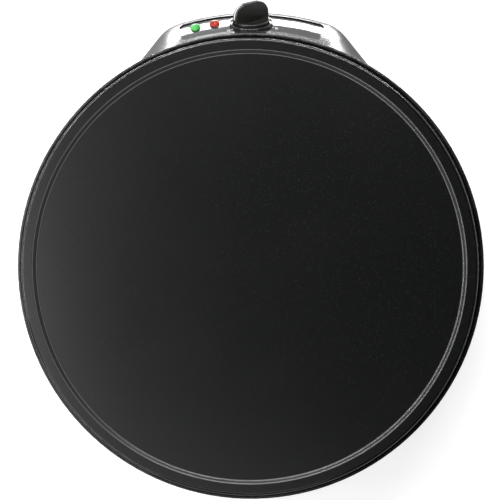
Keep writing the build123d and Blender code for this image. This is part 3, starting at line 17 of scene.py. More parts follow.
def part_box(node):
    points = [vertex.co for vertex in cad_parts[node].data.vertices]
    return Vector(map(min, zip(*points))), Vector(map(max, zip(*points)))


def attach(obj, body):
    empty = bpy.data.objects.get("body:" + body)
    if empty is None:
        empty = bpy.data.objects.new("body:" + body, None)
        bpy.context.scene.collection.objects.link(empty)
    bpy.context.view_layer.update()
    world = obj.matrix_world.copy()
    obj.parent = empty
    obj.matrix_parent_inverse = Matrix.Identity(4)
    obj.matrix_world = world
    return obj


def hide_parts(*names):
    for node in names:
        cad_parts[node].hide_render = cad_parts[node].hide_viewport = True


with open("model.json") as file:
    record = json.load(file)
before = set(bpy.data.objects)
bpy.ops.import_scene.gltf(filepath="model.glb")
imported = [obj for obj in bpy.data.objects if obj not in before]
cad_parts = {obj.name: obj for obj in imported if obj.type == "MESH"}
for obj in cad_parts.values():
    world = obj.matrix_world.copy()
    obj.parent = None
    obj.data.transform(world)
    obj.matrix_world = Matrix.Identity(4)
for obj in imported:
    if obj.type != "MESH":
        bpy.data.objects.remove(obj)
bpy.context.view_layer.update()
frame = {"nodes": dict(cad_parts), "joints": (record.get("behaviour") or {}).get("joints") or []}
nodes = frame["nodes"]
scene = bpy.context.scene

# The plate's upright axis lies a little behind the middle of the housing
plate_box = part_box("griddle_plate")
AXIS_Y = (plate_box[0].y + plate_box[1].y) / 2

# %% [markdown]
# ## The camera
# A flat, round appliance is usually shown from above, with a long lens from well away,
# so that its circle stays a circle. The camera stands a little off the middle, which
# gives the panel in front its slight foreshortening. Its rotation is built from three
# axes, because a camera that looks straight down has no natural "up" for a tracking
# constraint to use.

# %% Camera
CAMERA_PLACE = Vector((-0.069, -0.053, 1.776))
CAMERA_TARGET = Vector((-0.0007, -0.0007, 0.076))
CAMERA_LENS = 174.3
FRONT_OF_PLATE = Vector((0, -1, 0))

camera_data = bpy.data.cameras.new("top_camera")
camera_data.lens = CAMERA_LENS
camera = bpy.data.objects.new("top_camera", camera_data)
scene.collection.objects.link(camera)
forward = (CAMERA_TARGET - CAMERA_PLACE).normalized()
right = forward.cross(FRONT_OF_PLATE).normalized()
upward = right.cross(forward)
turn = Matrix((right, upward, -forward)).transposed().to_4x4()
camera.matrix_world = Matrix.Translation(CAMERA_PLACE) @ turn
scene.camera = camera
scene.view_settings.view_transform = "Standard"
print("camera looks from", CAMERA_PLACE[:], "with a lens of", CAMERA_LENS, "mm")

# %% [markdown]
# ## Node helpers
# Every finish below is a small network of shader nodes. A few helpers keep the recipes
# short: they add a node and set its values, do sums, read noise and map one range of
# values to another.


# %% Node helpers
def add_node(tree, kind, inputs=(), **settings):
    """Adds a node; settings are its properties and inputs are values for its sockets."""
    node = tree.nodes.new("ShaderNode" + kind)
    for name, value in settings.items():
        setattr(node, name, value)
    for name, value in dict(inputs).items():
        node.inputs[name].default_value = value
    return node


def feed(tree, value, socket):
    """Links an output socket to a socket, or gives the socket a plain value."""
    if isinstance(value, bpy.types.NodeSocket):
        tree.links.new(value, socket)
    else:
        socket.default_value = value


def calculate(tree, operation, first, second=None, clamp=False):
    """Math node on one or two values; each is a number or an output socket."""
    node = add_node(tree, "Math", operation=operation, use_clamp=clamp)
    feed(tree, first, node.inputs[0])
    if second is not None:
        feed(tree, second, node.inputs[1])
    return node.outputs[0]


def object_place(tree):
    """Place of the shaded point in the object's own coordinates, in metres."""
    return add_node(tree, "TexCoord").outputs["Object"]


def add_noise(tree, place, scale, detail, roughness=0.5):
    """Noise, read at a place; the scale is a number or an output socket."""
    node = add_node(tree, "TexNoise", inputs={"Detail": detail, "Roughness": roughness})
    tree.links.new(place, node.inputs["Vector"])
    feed(tree, scale, node.inputs["Scale"])
    return node.outputs["Fac"]


def blend_range(tree, value, low, high, to_low=0.0, to_high=1.0):
    """Maps a value between low and high to another range, smoothly and clamped."""
    node = add_node(tree, "MapRange", interpolation_type="SMOOTHSTEP")
    tree.links.new(value, node.inputs["Value"])
    for name, number in (("From Min", low), ("From Max", high), ("To Min", to_low), ("To Max", to_high)):
        node.inputs[name].default_value = number
    return node.outputs["Result"]


def mix_colours(tree, mask, first, second):
    """Colour that goes from first to second as the mask goes from 0 to 1."""
    node = add_node(tree, "Mix", data_type="RGBA")
    tree.links.new(mask, node.inputs["Factor"])
    for socket, value in ((node.inputs[6], first), (node.inputs[7], second)):
        is_linked = isinstance(value, bpy.types.NodeSocket)
        feed(tree, value if is_linked else (*value, 1.0), socket)
    return node.outputs[2]


print("node helpers ready")

# %% [markdown]
# A node group is built once and then used by many materials, with its own inputs set in
# each. A material is built round one Principled BSDF, whose plain sockets get plain
# values and whose other sockets get links.


# %% Group and material helpers
def start_group(name, inputs, outputs):
    """A shader node group; inputs are names with defaults, outputs are names."""
    tree = bpy.data.node_groups.new(name, "ShaderNodeTree")
    for label, default in inputs.items():
        socket = tree.interface.new_socket(label, in_out="INPUT", socket_type="NodeSocketFloat")
        socket.default_value = default
    for label in outputs:
        tree.interface.new_socket(label, in_out="OUTPUT", socket_type="NodeSocketFloat")
    return tree, tree.nodes.new("NodeGroupInput").outputs, tree.nodes.new("NodeGroupOutput").inputs


def start_material(name, **sockets):
    """A material with a Principled BSDF, and the values of its plain sockets."""
    material = bpy.data.materials.new(name)
    material.use_nodes = True
    shader = material.node_tree.nodes["Principled BSDF"]
    for label, value in sockets.items():
        shader.inputs[label.replace("_", " ")].default_value = value
    return material, material.node_tree, shader


def place_group(tree, group, **values):
    """Puts a node group in a material and sets its inputs."""
    node = add_node(tree, "Group", node_tree=group)
    for label, value in values.items():
        node.inputs[label.replace("_", " ")].default_value = value
    return node.outputs


def set_colour(tree, shader, colour):
    """Links a colour to the shader."""
    tree.links.new(colour, shader.inputs["Base Color"])


def vary_gloss(tree, shader, uneven, smooth, rough, low=0.3, high=0.7):
    """Roughness between two values, as an uneven value goes from low to high."""
    tree.links.new(blend_range(tree, uneven, low, high, smooth, rough), shader.inputs["Roughness"])


def add_bump(tree, shader, height, distance, strength):
    """Bump from a height map into the shader's normal; distance is in metres."""
    node = add_node(tree, "Bump", inputs={"Distance": distance, "Strength": strength})
    tree.links.new(height, node.inputs["Height"])
    tree.links.new(node.outputs["Normal"], shader.inputs["Normal"])


print("group and material helpers ready")

# %% [markdown]
# ## Floor and background
# The floor is a plain pale sheet. Only a ray that comes straight from the camera, or
# through a clear surface, sees it lifted to full white, and the light that falls on the
# crepe maker stays as it was. The lift is weaker near the middle, so the soft shadow under
# the feet doesn't disappear, and full further out, where the lamps hardly reach.

# %% Floor
FLOOR_SIZE = 8.0
FLOOR_GREY = (0.55, 0.55, 0.55, 1)
FLOOR_LIFT_NEAR = 0.72
FLOOR_LIFT_FAR = 1.0
FLOOR_LIFT_RANGE = (0.4, 1.6)  # metres from the middle of the floor

floor_mesh = bpy.data.meshes.new("floor")
floor_form = bmesh.new()
bmesh.ops.create_grid(floor_form, x_segments=2, y_segments=2, size=FLOOR_SIZE / 2)
floor_form.to_mesh(floor_mesh)
floor_form.free()
floor = bpy.data.objects.new("floor", floor_mesh)
scene.collection.objects.link(floor)

floor_paint, tree, shader = start_material("floor_paint", Base_Color=FLOOR_GREY, Roughness=0.9)
rays = add_node(tree, "LightPath").outputs
direct = calculate(tree, "MAXIMUM", rays["Is Camera Ray"], rays["Is Transmission Ray"])
distance = add_node(tree, "VectorMath", operation="LENGTH")
tree.links.new(object_place(tree), distance.inputs[0])
lift = blend_range(tree, distance.outputs["Value"], *FLOOR_LIFT_RANGE, FLOOR_LIFT_NEAR, FLOOR_LIFT_FAR)
glow = add_node(tree, "Emission")
tree.links.new(calculate(tree, "MULTIPLY", direct, lift), glow.inputs["Strength"])
total = add_node(tree, "AddShader")
tree.links.new(shader.outputs[0], total.inputs[0])
tree.links.new(glow.outputs[0], total.inputs[1])
tree.links.new(total.outputs[0], tree.nodes["Material Output"].inputs["Surface"])
floor_mesh.materials.append(floor_paint)
print("floor of", FLOOR_SIZE, "m")

# %% [markdown]
# The world is dark overhead, so the flat plate stays black, and pale near the horizon like
# the walls of a studio, which is what the upright and sloped surfaces mirror. Its texture
# coordinate is the direction of the ray, whose Z is the sine of the height above the
# horizon.

# %% World
OVERHEAD_LEVEL = 0.01
HORIZON_LEVEL = 0.75
HORIZON_END = 0.15  # sine of the height where the pale band starts to fade
OVERHEAD_START = 0.70  # and where it has gone
WHITE = (1, 1, 1, 1)

world = bpy.data.worlds.new("studio")
world.use_nodes = True
scene.world = world
tree = world.node_tree
tree.nodes.clear()
direction = add_node(tree, "SeparateXYZ")
tree.links.new(add_node(tree, "TexCoord").outputs["Generated"], direction.inputs[0])
height = direction.outputs["Z"]
level = blend_range(tree, height, HORIZON_END, OVERHEAD_START, HORIZON_LEVEL, OVERHEAD_LEVEL)
seen = add_node(tree, "LightPath").outputs["Is Camera Ray"]
backdrop = add_node(tree, "Background", inputs={"Color": WHITE, "Strength": 1.0})
studio = add_node(tree, "Background", inputs={"Color": WHITE})
tree.links.new(level, studio.inputs["Strength"])
choice = add_node(tree, "MixShader")
world_output = tree.nodes.new("ShaderNodeOutputWorld")
tree.links.new(seen, choice.inputs[0])
tree.links.new(studio.outputs[0], choice.inputs[1])
tree.links.new(backdrop.outputs[0], choice.inputs[2])
tree.links.new(choice.outputs[0], world_output.inputs["Surface"])
print("world from", HORIZON_LEVEL, "at the horizon to", OVERHEAD_LEVEL, "overhead")

# %% [markdown]
# ## Studio light
# Black appliances are lit by what they reflect. Three soft boxes hang high over the plate,
# and the coating shows them as a wide sheen, strongest on the camera's left. The strips
# further out are narrow and, apart from the weak one near the floor, far brighter. The
# flat of the plate hardly shows them, but its roundings turn toward them somewhere and
# draw them as thin lines of light. The bright ones stand about 40 degrees high: lower
# down, they would whiten the whole plate in a view from the side. The camera sees none of
# the lamps.


# %% Soft boxes
def soft_box(name, place, aim, size, brightness):
    """Rectangular area lamp that faces a point; brightness is its radiance, white being 1."""
    lamp = bpy.data.lights.new(name, "AREA")
    lamp.shape = "RECTANGLE"
    lamp.size, lamp.size_y = size
    lamp.energy = brightness * math.pi * size[0] * size[1]
    holder = bpy.data.objects.new(name, lamp)
    scene.collection.objects.link(holder)
    holder.location = place
    holder.rotation_euler = (Vector(aim) - Vector(place)).to_track_quat("-Z", "Y").to_euler()
    holder.visible_camera = False
    return holder


PLATE_MIDDLE = (0, 0.012, 0.076)
# Place, width and height, and brightness of each lamp
STUDIO_LAMPS = {
    "left_box": ((0.33, 0.06, 0.75), (0.60, 0.16), 3.6),
    "back_box": ((0.08, 0.38, 0.80), (0.40, 0.08), 4.2),
    "front_box": ((0.02, -0.42, 0.80), (0.40, 0.08), 8.5),
    "front_strip": ((-0.10, -0.97, 0.89), (1.20, 0.09), 50.0),
    "corner_strip": ((0.56, -0.73, 0.84), (0.70, 0.06), 62.0),
    "floor_strip": ((0.00, -1.20, 0.05), (1.30, 0.10), 2.0),
    "back_strip": ((0.60, 0.62, 0.74), (0.60, 0.05), 20.0),
    "left_strip": ((0.88, -0.16, 0.82), (0.90, 0.05), 50.0),
}
for name, (place, size, brightness) in STUDIO_LAMPS.items():
    soft_box(name, place, PLATE_MIDDLE, size, brightness)

# %% [markdown]
# The panel slopes outward, so from above it mirrors the floor just in front of it. A row
# of small lamps there, each with a narrow spread aimed at the panel, draws the bright
# band along its lower edge and leaves the rest of the crepe maker alone.

# %% Low strip in front of the panel
STRIP_RADIUS = 0.2055  # from the plate's axis
STRIP_HEIGHT = 0.003
STRIP_WIDTH = 0.0036
STRIP_LAMPS = 15
STRIP_HALF_ANGLE = 40  # degrees to each side of the panel's middle
STRIP_RISE = 46  # degrees above the floor at which the lamps are aimed
STRIP_SPREAD = 50
STRIP_BRIGHTNESS = 3.0

strip_step = math.radians(2 * STRIP_HALF_ANGLE / (STRIP_LAMPS - 1))
strip_size = (STRIP_RADIUS * strip_step, STRIP_WIDTH)
rise = math.radians(STRIP_RISE)
for number in range(STRIP_LAMPS):
    side = math.radians(STRIP_HALF_ANGLE * (2 * number / (STRIP_LAMPS - 1) - 1))
    place = Vector((STRIP_RADIUS * math.sin(side), AXIS_Y - STRIP_RADIUS * math.cos(side), STRIP_HEIGHT))
    level_aim = Vector((-math.sin(side), math.cos(side), 0)) * math.cos(rise)
    aim = place + level_aim + Vector((0, 0, math.sin(rise)))
    lamp = soft_box(f"panel_strip_{number + 1}", place, aim, strip_size, STRIP_BRIGHTNESS)
    lamp.data.spread = math.radians(STRIP_SPREAD)
print("strip of", STRIP_LAMPS, "lamps")

# %% [markdown]
# ## Effects that several finishes share
# Grain, wear, dust and scratches turn up on almost every surface, at other scales and
# strengths. Each is a node group with named inputs, built once. All of them read object
# coordinates in metres, so a scale is simply the number of features in a metre.


# %% Grain group
def build_grain():
    """Fine two-scale unevenness, as moulded or sprayed surfaces have."""
    inputs = {"Scale": 1500.0, "Broad Scale": 18.0}
    tree, given, made = start_group("grain", inputs, ("Height", "Broad"))
    place = object_place(tree)
    tree.links.new(add_noise(tree, place, given["Scale"], 3.0, 0.55), made["Height"])
    tree.links.new(add_noise(tree, place, given["Broad Scale"], 2.0), made["Broad"])
    return tree


grain = build_grain()
print("group:", grain.name)

# %% [markdown]
# The coating holds mineral flakes that show as tiny pale specks. Noise would give soft
# clouds, so the specks come from a Voronoi texture, which divides space into cells: a
# share of the cells, picked by their random colour, carry one speck each.


# %% Fleck group
def build_flecks():
    """Small separate flecks, each with its own brightness."""
    tree, given, made = start_group("flecks", {"Scale": 900.0, "Cover": 0.25}, ("Mask",))
    cells = add_node(tree, "TexVoronoi", feature="F1")
    tree.links.new(object_place(tree), cells.inputs["Vector"])
    tree.links.new(given["Scale"], cells.inputs["Scale"])
    apart = add_node(tree, "SeparateColor")
    tree.links.new(cells.outputs["Color"], apart.inputs[0])
    chosen = calculate(tree, "LESS_THAN", apart.outputs[0], given["Cover"])
    near = blend_range(tree, cells.outputs["Distance"], 0.1, 0.45, 1.0, 0.0)
    strength = calculate(tree, "MULTIPLY", chosen, apart.outputs[1])
    tree.links.new(calculate(tree, "MULTIPLY", near, strength), made["Mask"])
    return tree


flecks = build_flecks()
print("group:", flecks.name)

# %% [markdown]
# Handling rubs the corners of moulded parts first. The Bevel node gives the normal that a
# rounded edge would have. Where it differs from the true normal there is an edge, and
# noise breaks the line into patches. Painting it by hand would need a texture image.


# %% Edge wear group
def build_edge_wear():
    """Finds edges by comparing a rounded normal with the true one, broken by noise."""
    tree, given, made = start_group("edge_wear", {"Radius": 0.0006, "Amount": 0.6}, ("Mask",))
    rounded = add_node(tree, "Bevel", samples=4)
    tree.links.new(given["Radius"], rounded.inputs["Radius"])
    true_normal = add_node(tree, "NewGeometry").outputs["Normal"]
    match = add_node(tree, "VectorMath", operation="DOT_PRODUCT")
    tree.links.new(rounded.outputs["Normal"], match.inputs[0])
    tree.links.new(true_normal, match.inputs[1])
    edge = blend_range(tree, match.outputs["Value"], 0.99, 0.86)
    rub = add_noise(tree, object_place(tree), 140.0, 4.0)
    broken = blend_range(tree, rub, 0.42, 0.62)
    worn = calculate(tree, "MULTIPLY", edge, broken)
    tree.links.new(calculate(tree, "MULTIPLY", worn, given["Amount"], clamp=True), made["Mask"])
    return tree


edge_wear = build_edge_wear()
print("group:", edge_wear.name)

# %% [markdown]
# Dust lies on what faces up. The Z of the normal tells how level a surface is, and noise
# gathers the dust in drifts, so that it doesn't look like an even coat of paint.


# %% Dust group
def build_dust():
    """Dust that settles on surfaces that face up, in uneven drifts."""
    tree, given, made = start_group("dust", {"Amount": 0.2, "Scale": 60.0}, ("Mask",))
    apart = add_node(tree, "SeparateXYZ")
    tree.links.new(add_node(tree, "NewGeometry").outputs["Normal"], apart.inputs[0])
    facing_up = blend_range(tree, apart.outputs["Z"], 0.5, 1.0)
    drift = add_noise(tree, object_place(tree), given["Scale"], 5.0, 0.6)
    uneven = blend_range(tree, drift, 0.35, 0.75)
    settled = calculate(tree, "MULTIPLY", facing_up, uneven)
    tree.links.new(calculate(tree, "MULTIPLY", settled, given["Amount"], clamp=True), made["Mask"])
    return tree


dust = build_dust()
print("group:", dust.name)

# %% [markdown]
# Wiping leaves fine lines that run roughly one way. They could be modelled one by one, but
# noise that is drawn out along one direction and kept only where it peaks gives hundreds
# of them in a few nodes.


# %% Scratch group
def build_scratches():
    """Hairline rubbing marks: noise drawn out along one direction, kept where it peaks."""
    inputs = {"Scale": 40.0, "Angle": 0.4, "Amount": 0.5}
    tree, given, made = start_group("hairlines", inputs, ("Mask",))
    turn = add_node(tree, "VectorRotate", rotation_type="Z_AXIS")
    tree.links.new(object_place(tree), turn.inputs["Vector"])
    tree.links.new(given["Angle"], turn.inputs["Angle"])
    stretch = add_node(tree, "Mapping", inputs={"Scale": (1.0, 45.0, 12.0)})
    tree.links.new(turn.outputs[0], stretch.inputs["Vector"])
    lines = add_noise(tree, stretch.outputs[0], given["Scale"], 2.0, 0.4)
    peaks = blend_range(tree, lines, 0.66, 0.74)
    tree.links.new(calculate(tree, "MULTIPLY", peaks, given["Amount"]), made["Mask"])
    return tree


hairlines = build_scratches()
print("group:", hairlines.name)

# %% [markdown]
# ## The non-stick plate
# The plate is an aluminium casting, sprayed with a dark non-stick coating that is baked
# hard. Seen close, the coating is slightly pebbled and holds tiny pale flecks, and a
# plate that has been used has faint rubbing marks. A near-black base of middling roughness
# with a fine bump gives the wide sheen; the flecks and marks only change colour and
# roughness a little. Two pale rings follow the foot and the top of the raised border: they
# are painted highlights on the two roundings, picked out by the distance from the plate's
# axis, measured in object coordinates. Past them, the outer edge is wiped smoother than the rest.


# %% Non-stick coating
HIGHLIGHT_RINGS = (0.1502, 0.1528)  # metres from the axis, as are the next two values
HIGHLIGHT_RING_CORE, HIGHLIGHT_RING_WIDTH = 0.000135, 0.00045  # where each ring starts and stops to fade
POLISHED_EDGE = (0.1588, 0.1595)  # where the smoother edge starts, and where it is reached
COATING_BLACK = (0.0024, 0.0028, 0.0026)
COATING_FLECK = (0.019, 0.021, 0.020)
COATING_RUBBED = (0.010, 0.0105, 0.010)
# pale grey of the painted highlight on the two roundings
RING_HIGHLIGHT_GREY = (0.072, 0.074, 0.071)
COATING_ROUGHNESS = (0.27, 0.29)
RUBBED_ROUGHNESS = -0.04  # change in the roughness where the coating is rubbed
EDGE_ROUGHNESS = -0.20  # and on the outer edge
PEBBLE_DEPTH = 0.00002


def distance_from_axis(tree):
    """Distance of a point from the plate's upright axis, in metres."""
    apart = add_node(tree, "SeparateXYZ")
    tree.links.new(object_place(tree), apart.inputs[0])
    y_squared = calculate(tree, "POWER", calculate(tree, "SUBTRACT", apart.outputs["Y"], AXIS_Y), 2.0)
    x_squared = calculate(tree, "POWER", apart.outputs["X"], 2.0)
    return calculate(tree, "SQRT", calculate(tree, "ADD", x_squared, y_squared))


def coating_finish():
    """Non-stick coating with two rings of painted highlight and a smoother outer edge."""
    material, tree, shader = start_material(
        "nonstick_coating", IOR=1.45, Coat_Weight=0.2, Coat_Roughness=0.16
    )
    pebble = place_group(tree, grain, Scale=1400.0, Broad_Scale=9.0)
    fleck = place_group(tree, flecks, Scale=1000.0, Cover=0.35)["Mask"]
    marks = place_group(tree, hairlines, Scale=34.0, Angle=0.6, Amount=0.25)["Mask"]
    speck = mix_colours(tree, fleck, COATING_BLACK, COATING_FLECK)
    colour = mix_colours(tree, marks, speck, COATING_RUBBED)
    radius = distance_from_axis(tree)
    # The two rings are painted highlights on the roundings at the foot and the top of the border
    rings = []
    for ring in HIGHLIGHT_RINGS:
        off_ring = calculate(tree, "ABSOLUTE", calculate(tree, "SUBTRACT", radius, ring))
        rings.append(blend_range(tree, off_ring, HIGHLIGHT_RING_CORE, HIGHLIGHT_RING_WIDTH, 1.0, 0.0))
    painted_rings = calculate(tree, "MAXIMUM", *rings)
    rubbed = blend_range(tree, pebble["Broad"], 0.2, 0.7, 0.75, 1.0)
    # painted highlight of the rings, a little uneven
    worn = calculate(tree, "MULTIPLY", painted_rings, rubbed)
    set_colour(tree, shader, mix_colours(tree, worn, colour, RING_HIGHLIGHT_GREY))
    roughness = blend_range(tree, pebble["Broad"], 0.3, 0.7, *COATING_ROUGHNESS)
    wiped = calculate(tree, "MULTIPLY", marks, RUBBED_ROUGHNESS)
    polished = blend_range(tree, radius, *POLISHED_EDGE, 0.0, EDGE_ROUGHNESS)
    smoothed = calculate(tree, "ADD", wiped, polished)
    tree.links.new(calculate(tree, "ADD", roughness, smoothed), shader.inputs["Roughness"])
    add_bump(tree, shader, pebble["Height"], PEBBLE_DEPTH, 0.35)
    return material


nonstick_coating = coating_finish()
print("finish:", nonstick_coating.name)

# %% [markdown]
# ## Moulded plastics
# The housing, the cover and the small fittings are injection moulded. One recipe serves
# them all: a dark plastic with the faint grain of the tool's surface, rubbed edges and
# some dust. What differs is how glossy each one is and how coarse its grain is.


# %% Moulded plastic
WEAR_RADIUS = 0.0005
WEAR_GAIN, WEAR_LIFT = 2.6, 0.02  # how much paler the rubbed edges are
DUST_SHARE, DUST_LIFT = 0.5, 0.16  # how much of the colour full dust leaves, and its own grey
DUST_DULLS = 0.5  # what full dust adds to the roughness


def moulded_finish(name, colour, gloss, grain_scale, grain_depth, worn=0.4, dusty=0.10, shine=0.5):
    """Injection-moulded plastic; gloss is the pair of roughness values that it varies between."""
    material, tree, shader = start_material(name, IOR=1.5, Specular_IOR_Level=shine)
    skin = place_group(tree, grain, Scale=grain_scale, Broad_Scale=22.0)
    wear = place_group(tree, edge_wear, Radius=WEAR_RADIUS, Amount=worn)["Mask"]
    settled = place_group(tree, dust, Amount=dusty, Scale=70.0)["Mask"]
    pale = [min(1.0, value * WEAR_GAIN + WEAR_LIFT) for value in colour]
    grey = [value * DUST_SHARE + DUST_LIFT for value in colour]
    worn_colour = mix_colours(tree, wear, colour, pale)
    set_colour(tree, shader, mix_colours(tree, settled, worn_colour, grey))
    roughness = blend_range(tree, skin["Broad"], 0.3, 0.7, *gloss)
    dulled = calculate(tree, "MULTIPLY", settled, DUST_DULLS)
    tree.links.new(calculate(tree, "ADD", roughness, dulled), shader.inputs["Roughness"])
    add_bump(tree, shader, skin["Height"], grain_depth, 0.5)
    return material


print("recipe ready")

# %% [markdown]
# The plastics differ in colour, gloss and grain. The fascia and the bezel are polished and
# nearly smooth, the housing and the knob are satin, and the cover that nobody sees is
# matt. Each gloss is a pair of roughness values, because no moulding is quite even.

# %% Plastics
HOUSING_BLACK = (0.010, 0.0105, 0.0105)
COVER_BLACK = (0.014, 0.014, 0.014)
FASCIA_BLACK = (0.008, 0.0085, 0.009)
BEZEL_BLACK = (0.012, 0.012, 0.012)
KNOB_BLACK = (0.010, 0.010, 0.009)
LEAD_BROWN = (0.10, 0.035, 0.015)
LEAD_BLUE = (0.02, 0.09, 0.35)
HOLDER_WHITE = (0.55, 0.54, 0.50)
POLISHED = (0.03, 0.06)
SATIN = (0.16, 0.22)
KNOB_SATIN = (0.14, 0.22)
LEAD_SATIN = (0.30, 0.40)
DULL = (0.45, 0.55)
MATT = (0.5, 0.6)

plastics = {
    "housing_plastic": moulded_finish("satin_black_housing", HOUSING_BLACK, SATIN, 1700.0, 0.00002),
    "cover_plastic": moulded_finish("matt_black_cover", COVER_BLACK, MATT, 900.0, 0.00010),
    "fascia_plastic": moulded_finish(
        "glossy_fascia", FASCIA_BLACK, POLISHED, 2200.0, 0.00001, worn=0.2, dusty=0.03, shine=0.3
    ),
    "bezel_plastic": moulded_finish(
        "polished_bezel", BEZEL_BLACK, POLISHED, 2200.0, 0.00001, worn=0.3, dusty=0.04
    ),
    "knob_plastic": moulded_finish(
        "knob_black", KNOB_BLACK, KNOB_SATIN, 2000.0, 0.00002, worn=0.5, dusty=0.04
    ),
    "brown_insulation": moulded_finish("brown_insulation", LEAD_BROWN, LEAD_SATIN, 1500.0, 0.00002),
    "blue_insulation": moulded_finish("blue_insulation", LEAD_BLUE, LEAD_SATIN, 1500.0, 0.00002),
    "holder_plastic": moulded_finish("lamp_holder_white", HOLDER_WHITE, DULL, 900.0, 0.00005),
}
print("plastics:", sorted(plastics))

# %% [markdown]
# ## Rubber
# The feet, the cord bush and the grommets are soft rubber: very dark, dull and slightly
# dusty. The recipe is that of the plastics with a coarser, deeper skin and without the
# rubbed edges, because rubber gives way where plastic wears.


# %% Rubber
FOOT_BLACK = (0.016, 0.016, 0.016)
BUSH_BLACK = (0.011, 0.011, 0.011)
RUBBER_DUST = (0.09, 0.088, 0.085)
AGED_GAIN = 1.8


def rubber_finish(name, colour):
    """Soft rubber, greyed in patches."""
    material, tree, shader = start_material(name, IOR=1.5)
    skin = place_group(tree, grain, Scale=1300.0, Broad_Scale=80.0)
    settled = place_group(tree, dust, Amount=0.3, Scale=150.0)["Mask"]
    tired = blend_range(tree, skin["Broad"], 0.35, 0.7)
    aged = mix_colours(tree, tired, colour, [value * AGED_GAIN for value in colour])
    set_colour(tree, shader, mix_colours(tree, settled, aged, RUBBER_DUST))
    vary_gloss(tree, shader, skin["Broad"], 0.62, 0.8)
    add_bump(tree, shader, skin["Height"], 0.00015, 0.5)
    return material


rubbers = {
    "foot_rubber": rubber_finish("foot_rubber", FOOT_BLACK),
    "inlet_rubber": rubber_finish("bush_rubber", BUSH_BLACK),
}
print("rubbers:", sorted(rubbers))

# %% [markdown]
# ## Lamp lenses
# Each lens is a clear, tinted dome with a lamp behind it. Light enters the dome, takes its
# tint and comes back, so the lens needs real transmission rather than a painted colour.
# A little base tint and some emission stand for the lit lamp inside.


# %% Lenses
LENS_GREEN = (0.10, 0.62, 0.12)
LENS_RED = (0.62, 0.04, 0.015)
DEEP_TINT = 0.45  # share of the colour where the tint is deepest


def lens_finish(name, colour, glow):
    """Clear tinted plastic; glow is the strength of the lamp's light in it."""
    material, tree, shader = start_material(name, IOR=1.49, Transmission_Weight=0.55, Roughness=0.08)
    ripple = place_group(tree, grain, Scale=700.0, Broad_Scale=220.0)
    deep = [value * DEEP_TINT for value in colour]
    tint = mix_colours(tree, ripple["Broad"], deep, colour)
    set_colour(tree, shader, tint)
    tree.links.new(tint, shader.inputs["Emission Color"])
    shader.inputs["Emission Strength"].default_value = glow
    add_bump(tree, shader, ripple["Broad"], 0.0002, 0.4)
    return material


lenses = {
    "green_plastic": lens_finish("green_lens_plastic", LENS_GREEN, glow=0.25),
    "red_plastic": lens_finish("red_lens_plastic", LENS_RED, glow=0.12),
}
print("lenses:", sorted(lenses))

# %% [markdown]
# ## Metals inside
# Most of these are hidden, and some show through the vents or when the plate is lifted
# off in an exploded view. Steel, aluminium and brass share one recipe with a rolled grain,
# fine rubbed lines and dull oxide in patches; only the colour and the roughness differ.


# %% Metals
OXIDE_TINT = (0.25, 0.23, 0.2)
OXIDE_LIFT = 0.1
RUBBED_LIFT = 1.15


def metal_finish(name, colour, roughness, grain_scale=900.0):
    """Metal with a fine grain, dull patches and brighter rubbed lines."""
    material, tree, shader = start_material(name, Metallic=1.0)
    skin = place_group(tree, grain, Scale=grain_scale, Broad_Scale=110.0)
    rubbed = place_group(tree, hairlines, Scale=90.0, Angle=0.2, Amount=0.6)["Mask"]
    patches = blend_range(tree, skin["Broad"], 0.48, 0.72)
    dull = [part * tint + OXIDE_LIFT * tint for part, tint in zip(colour, OXIDE_TINT)]
    bright = [min(1.0, part * RUBBED_LIFT) for part in colour]
    aged = mix_colours(tree, patches, colour, dull)
    set_colour(tree, shader, mix_colours(tree, rubbed, aged, bright))
    vary_gloss(tree, shader, skin["Broad"], roughness, roughness + 0.2, high=0.75)
    add_bump(tree, shader, skin["Height"], 0.00004, 0.4)
    return material


metals = {
    "sheath_steel": metal_finish("sheath_steel", (0.30, 0.28, 0.26), 0.45),
    "shield_aluminium": metal_finish("shield_aluminium", (0.80, 0.80, 0.80), 0.30),
    "cast_aluminium": metal_finish("cast_aluminium", (0.58, 0.58, 0.57), 0.45, grain_scale=500.0),
    "zinc_steel": metal_finish("zinc_steel", (0.62, 0.63, 0.62), 0.28),
    "spindle_steel": metal_finish("spindle_steel", (0.50, 0.50, 0.50), 0.25),
    "brass": metal_finish("brass", (0.72, 0.53, 0.24), 0.25),
}
print("metals:", sorted(metals))

# %% [markdown]
# ## Ceramic and glass inside
# What has to stand heat and keep current in is ceramic: the element's end seals, the
# thermostat's pin and washers, the terminal block and the fuse's body. The two indicator
# lamps are small glass bulbs, slightly smoked by heat. Both take their patches of colour
# from the grain group.


# %% Ceramic and lamp glass
GLAZE, GLAZE_AGED = (0.74, 0.71, 0.64), (0.55, 0.51, 0.44)
BULB_CLEAR, BULB_SMOKED = (0.95, 0.92, 0.85), (0.8, 0.75, 0.68)


def ceramic_finish():
    """Off-white glaze, yellowed in patches."""
    material, tree, shader = start_material("glazed_ceramic", IOR=1.5)
    skin = place_group(tree, grain, Scale=600.0, Broad_Scale=130.0)
    set_colour(tree, shader, mix_colours(tree, skin["Broad"], GLAZE, GLAZE_AGED))
    vary_gloss(tree, shader, skin["Broad"], 0.35, 0.6)
    add_bump(tree, shader, skin["Height"], 0.0001, 0.4)
    return material


def lamp_glass_finish():
    """Clear glass with a brown haze."""
    material, tree, shader = start_material("lamp_glass", IOR=1.5, Transmission_Weight=0.9, Roughness=0.1)
    skin = place_group(tree, grain, Scale=500.0, Broad_Scale=300.0)
    set_colour(tree, shader, mix_colours(tree, skin["Broad"], BULB_CLEAR, BULB_SMOKED))
    add_bump(tree, shader, skin["Broad"], 0.0001, 0.3)
    return material


ceramics = {"ceramic": ceramic_finish(), "lamp_glass": lamp_glass_finish()}
print("ceramic and glass:", sorted(ceramics))

# %% [markdown]
# ## Leads
# The earth lead has its two-colour insulation, which a diagonal wave draws. The two leads
# at the fuse have sleeves of woven glass, which stand more heat: two crossed waves stand
# for the threads, and the same waves give the bump.


